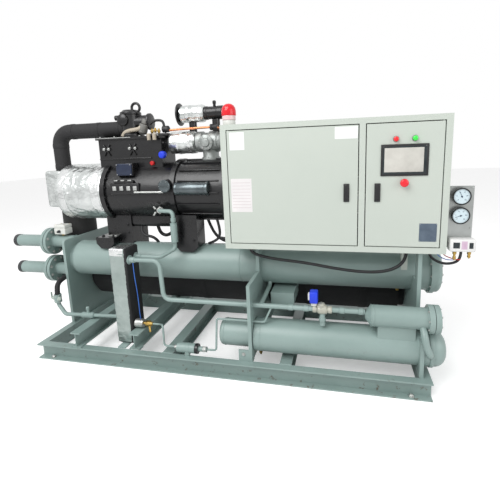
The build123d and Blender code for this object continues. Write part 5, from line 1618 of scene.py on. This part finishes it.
for name, values, reading in (("upper_gauge", (0, 5, 10, 15, 20, 25), 112), ("lower_gauge", (0, 5, 10, 15, 20, 25), 200)):
    low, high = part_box(name)
    centre = Vector(((low[0] + high[0]) / 2, high[1], (low[2] + high[2]) / 2))
    case = turned(
        name + "_case", centre, front_way,
        ((0, 0.0415), (0.020, 0.0415), (0.0205, 0.0437), (0.029, 0.0437), (0.032, 0.041), (0.0318, 0.0375), (0.0275, 0.0368), (0.0275, 0.002)), 56,
    )
    dress(case, gauge_rim)
    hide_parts(name)
    face = turned(name + "_dial", centre - Vector((0, 0.0270, 0)), front_way, ((0, 0.0368), (0.0012, 0.0368)), 56)
    dress(face, dial_white)
    face_y = Vector((0, -0.0284, 0))
    marks = dial_numbers(centre + face_y, 0.0235, values)
    for step in range(26):
        angle = math.radians(225 - 270 * step / 25)
        outward = Vector((math.cos(angle), 0, math.sin(angle)))
        length = 0.0055 if step % 5 == 0 else 0.003
        tick = sawn("tick", (-0.0004, -0.0003, -length), (0.0004, 0.0003, 0))
        tick.matrix_world = Matrix.Translation(centre + face_y + outward * 0.0345) @ Matrix.Rotation(math.radians(90) - angle, 4, "Y")
        bpy.ops.object.transform_apply(location=True, rotation=True, scale=True)
        marks.append(tick)
    needle = sawn("needle", (-0.0009, -0.0004, -0.007), (0.0009, 0.0004, 0.027), 0.0004, 1)
    needle.matrix_world = Matrix.Translation(centre + face_y * 1.03) @ Matrix.Rotation(math.radians(90 - reading), 4, "Y")
    bpy.ops.object.transform_apply(location=True, rotation=True, scale=True)
    marks.append(needle)
    marks.append(turned("hub", centre + face_y, front_way, ((0, 0.0042), (0.0022, 0.0038)), 20))
    dress(joined(name + "_marks", marks), dial_ink)
controller_low, controller_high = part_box("pressure_controller")
white_case = worn_finish("white_case", (0.66, 0.66, 0.65), (0.74, 0.74, 0.73), 15.0, 0.36, 120.0, 0.03)
controller_case = sawn("controller_case", controller_low, controller_high, 0.006, 3)
dress(controller_case, white_case)
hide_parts("pressure_controller")
controller_windows = []
for start, end in ((0.014, 0.046), (0.088, 0.108)):
    controller_windows.append(
        sawn("window", (controller_low[0] + start, controller_low[1] - 0.0002, controller_low[2] + 0.018),
             (controller_low[0] + end, controller_low[1] + 0.002, controller_low[2] + 0.050), 0.0006, 1)
    )
dress(joined("controller_windows", controller_windows), dark_glass)
middle_field = sawn(
    "controller_middle_field", (controller_low[0] + 0.053, controller_low[1] - 0.0001, controller_low[2] + 0.014),
    (controller_low[0] + 0.080, controller_low[1] + 0.002, controller_low[2] + 0.056),
)
dress(middle_field, worn_finish("mauve_film", (0.50, 0.33, 0.46), (0.62, 0.48, 0.58), 40.0, 0.4))
brass_ends = []
for along, length in ((0.030, 0.052), (0.098, 0.040)):
    brass_ends.append(
        turned("end", (controller_low[0] + along, controller_low[1] + 0.028, controller_low[2] + 0.0005), -up_way,
               ((0, 0.0065), (0.006, 0.0065), (0.006, 0.0100), (0.018, 0.0100), (0.018, 0.0062),
                (length * 0.6, 0.0062), (length * 0.6, 0.0085), (length * 0.85, 0.0085), (length * 0.85, 0.005), (length, 0.004)), 8, 0.0004)
    )
dress(joined("controller_brass_ends", brass_ends), brass)
red_lead = tube("controller_red_lead", [spot(2.455, 0.230, 0.735), spot(2.470, 0.220, 0.716), spot(2.500, 0.200, 0.708), spot(2.528, 0.180, 0.706), spot(2.535, 0.172, 0.712)], 0.0024)
dress(red_lead, worn_finish("red_lead", (0.45, 0.02, 0.015), (0.6, 0.04, 0.03), 30.0, 0.4))
blue_lead = tube("controller_blue_lead", [spot(2.420, 0.235, 0.735), spot(2.445, 0.225, 0.712), spot(2.470, 0.205, 0.700), spot(2.500, 0.185, 0.702), spot(2.508, 0.178, 0.708)], 0.0022)
dress(blue_lead, blue_jacket)
panel_screws = []
for along, height in ((2.470, 1.076), (2.580, 1.076), (2.470, 0.870), (2.580, 0.870)):
    panel_screws.append(
        turned("screw", spot(along, 0.205, height), front_way, ((0, 0.0045), (0.0008, 0.0045), (0.0026, 0.003)), 16)
    )
dress(joined("gauge_panel_screws", panel_screws), zinc)
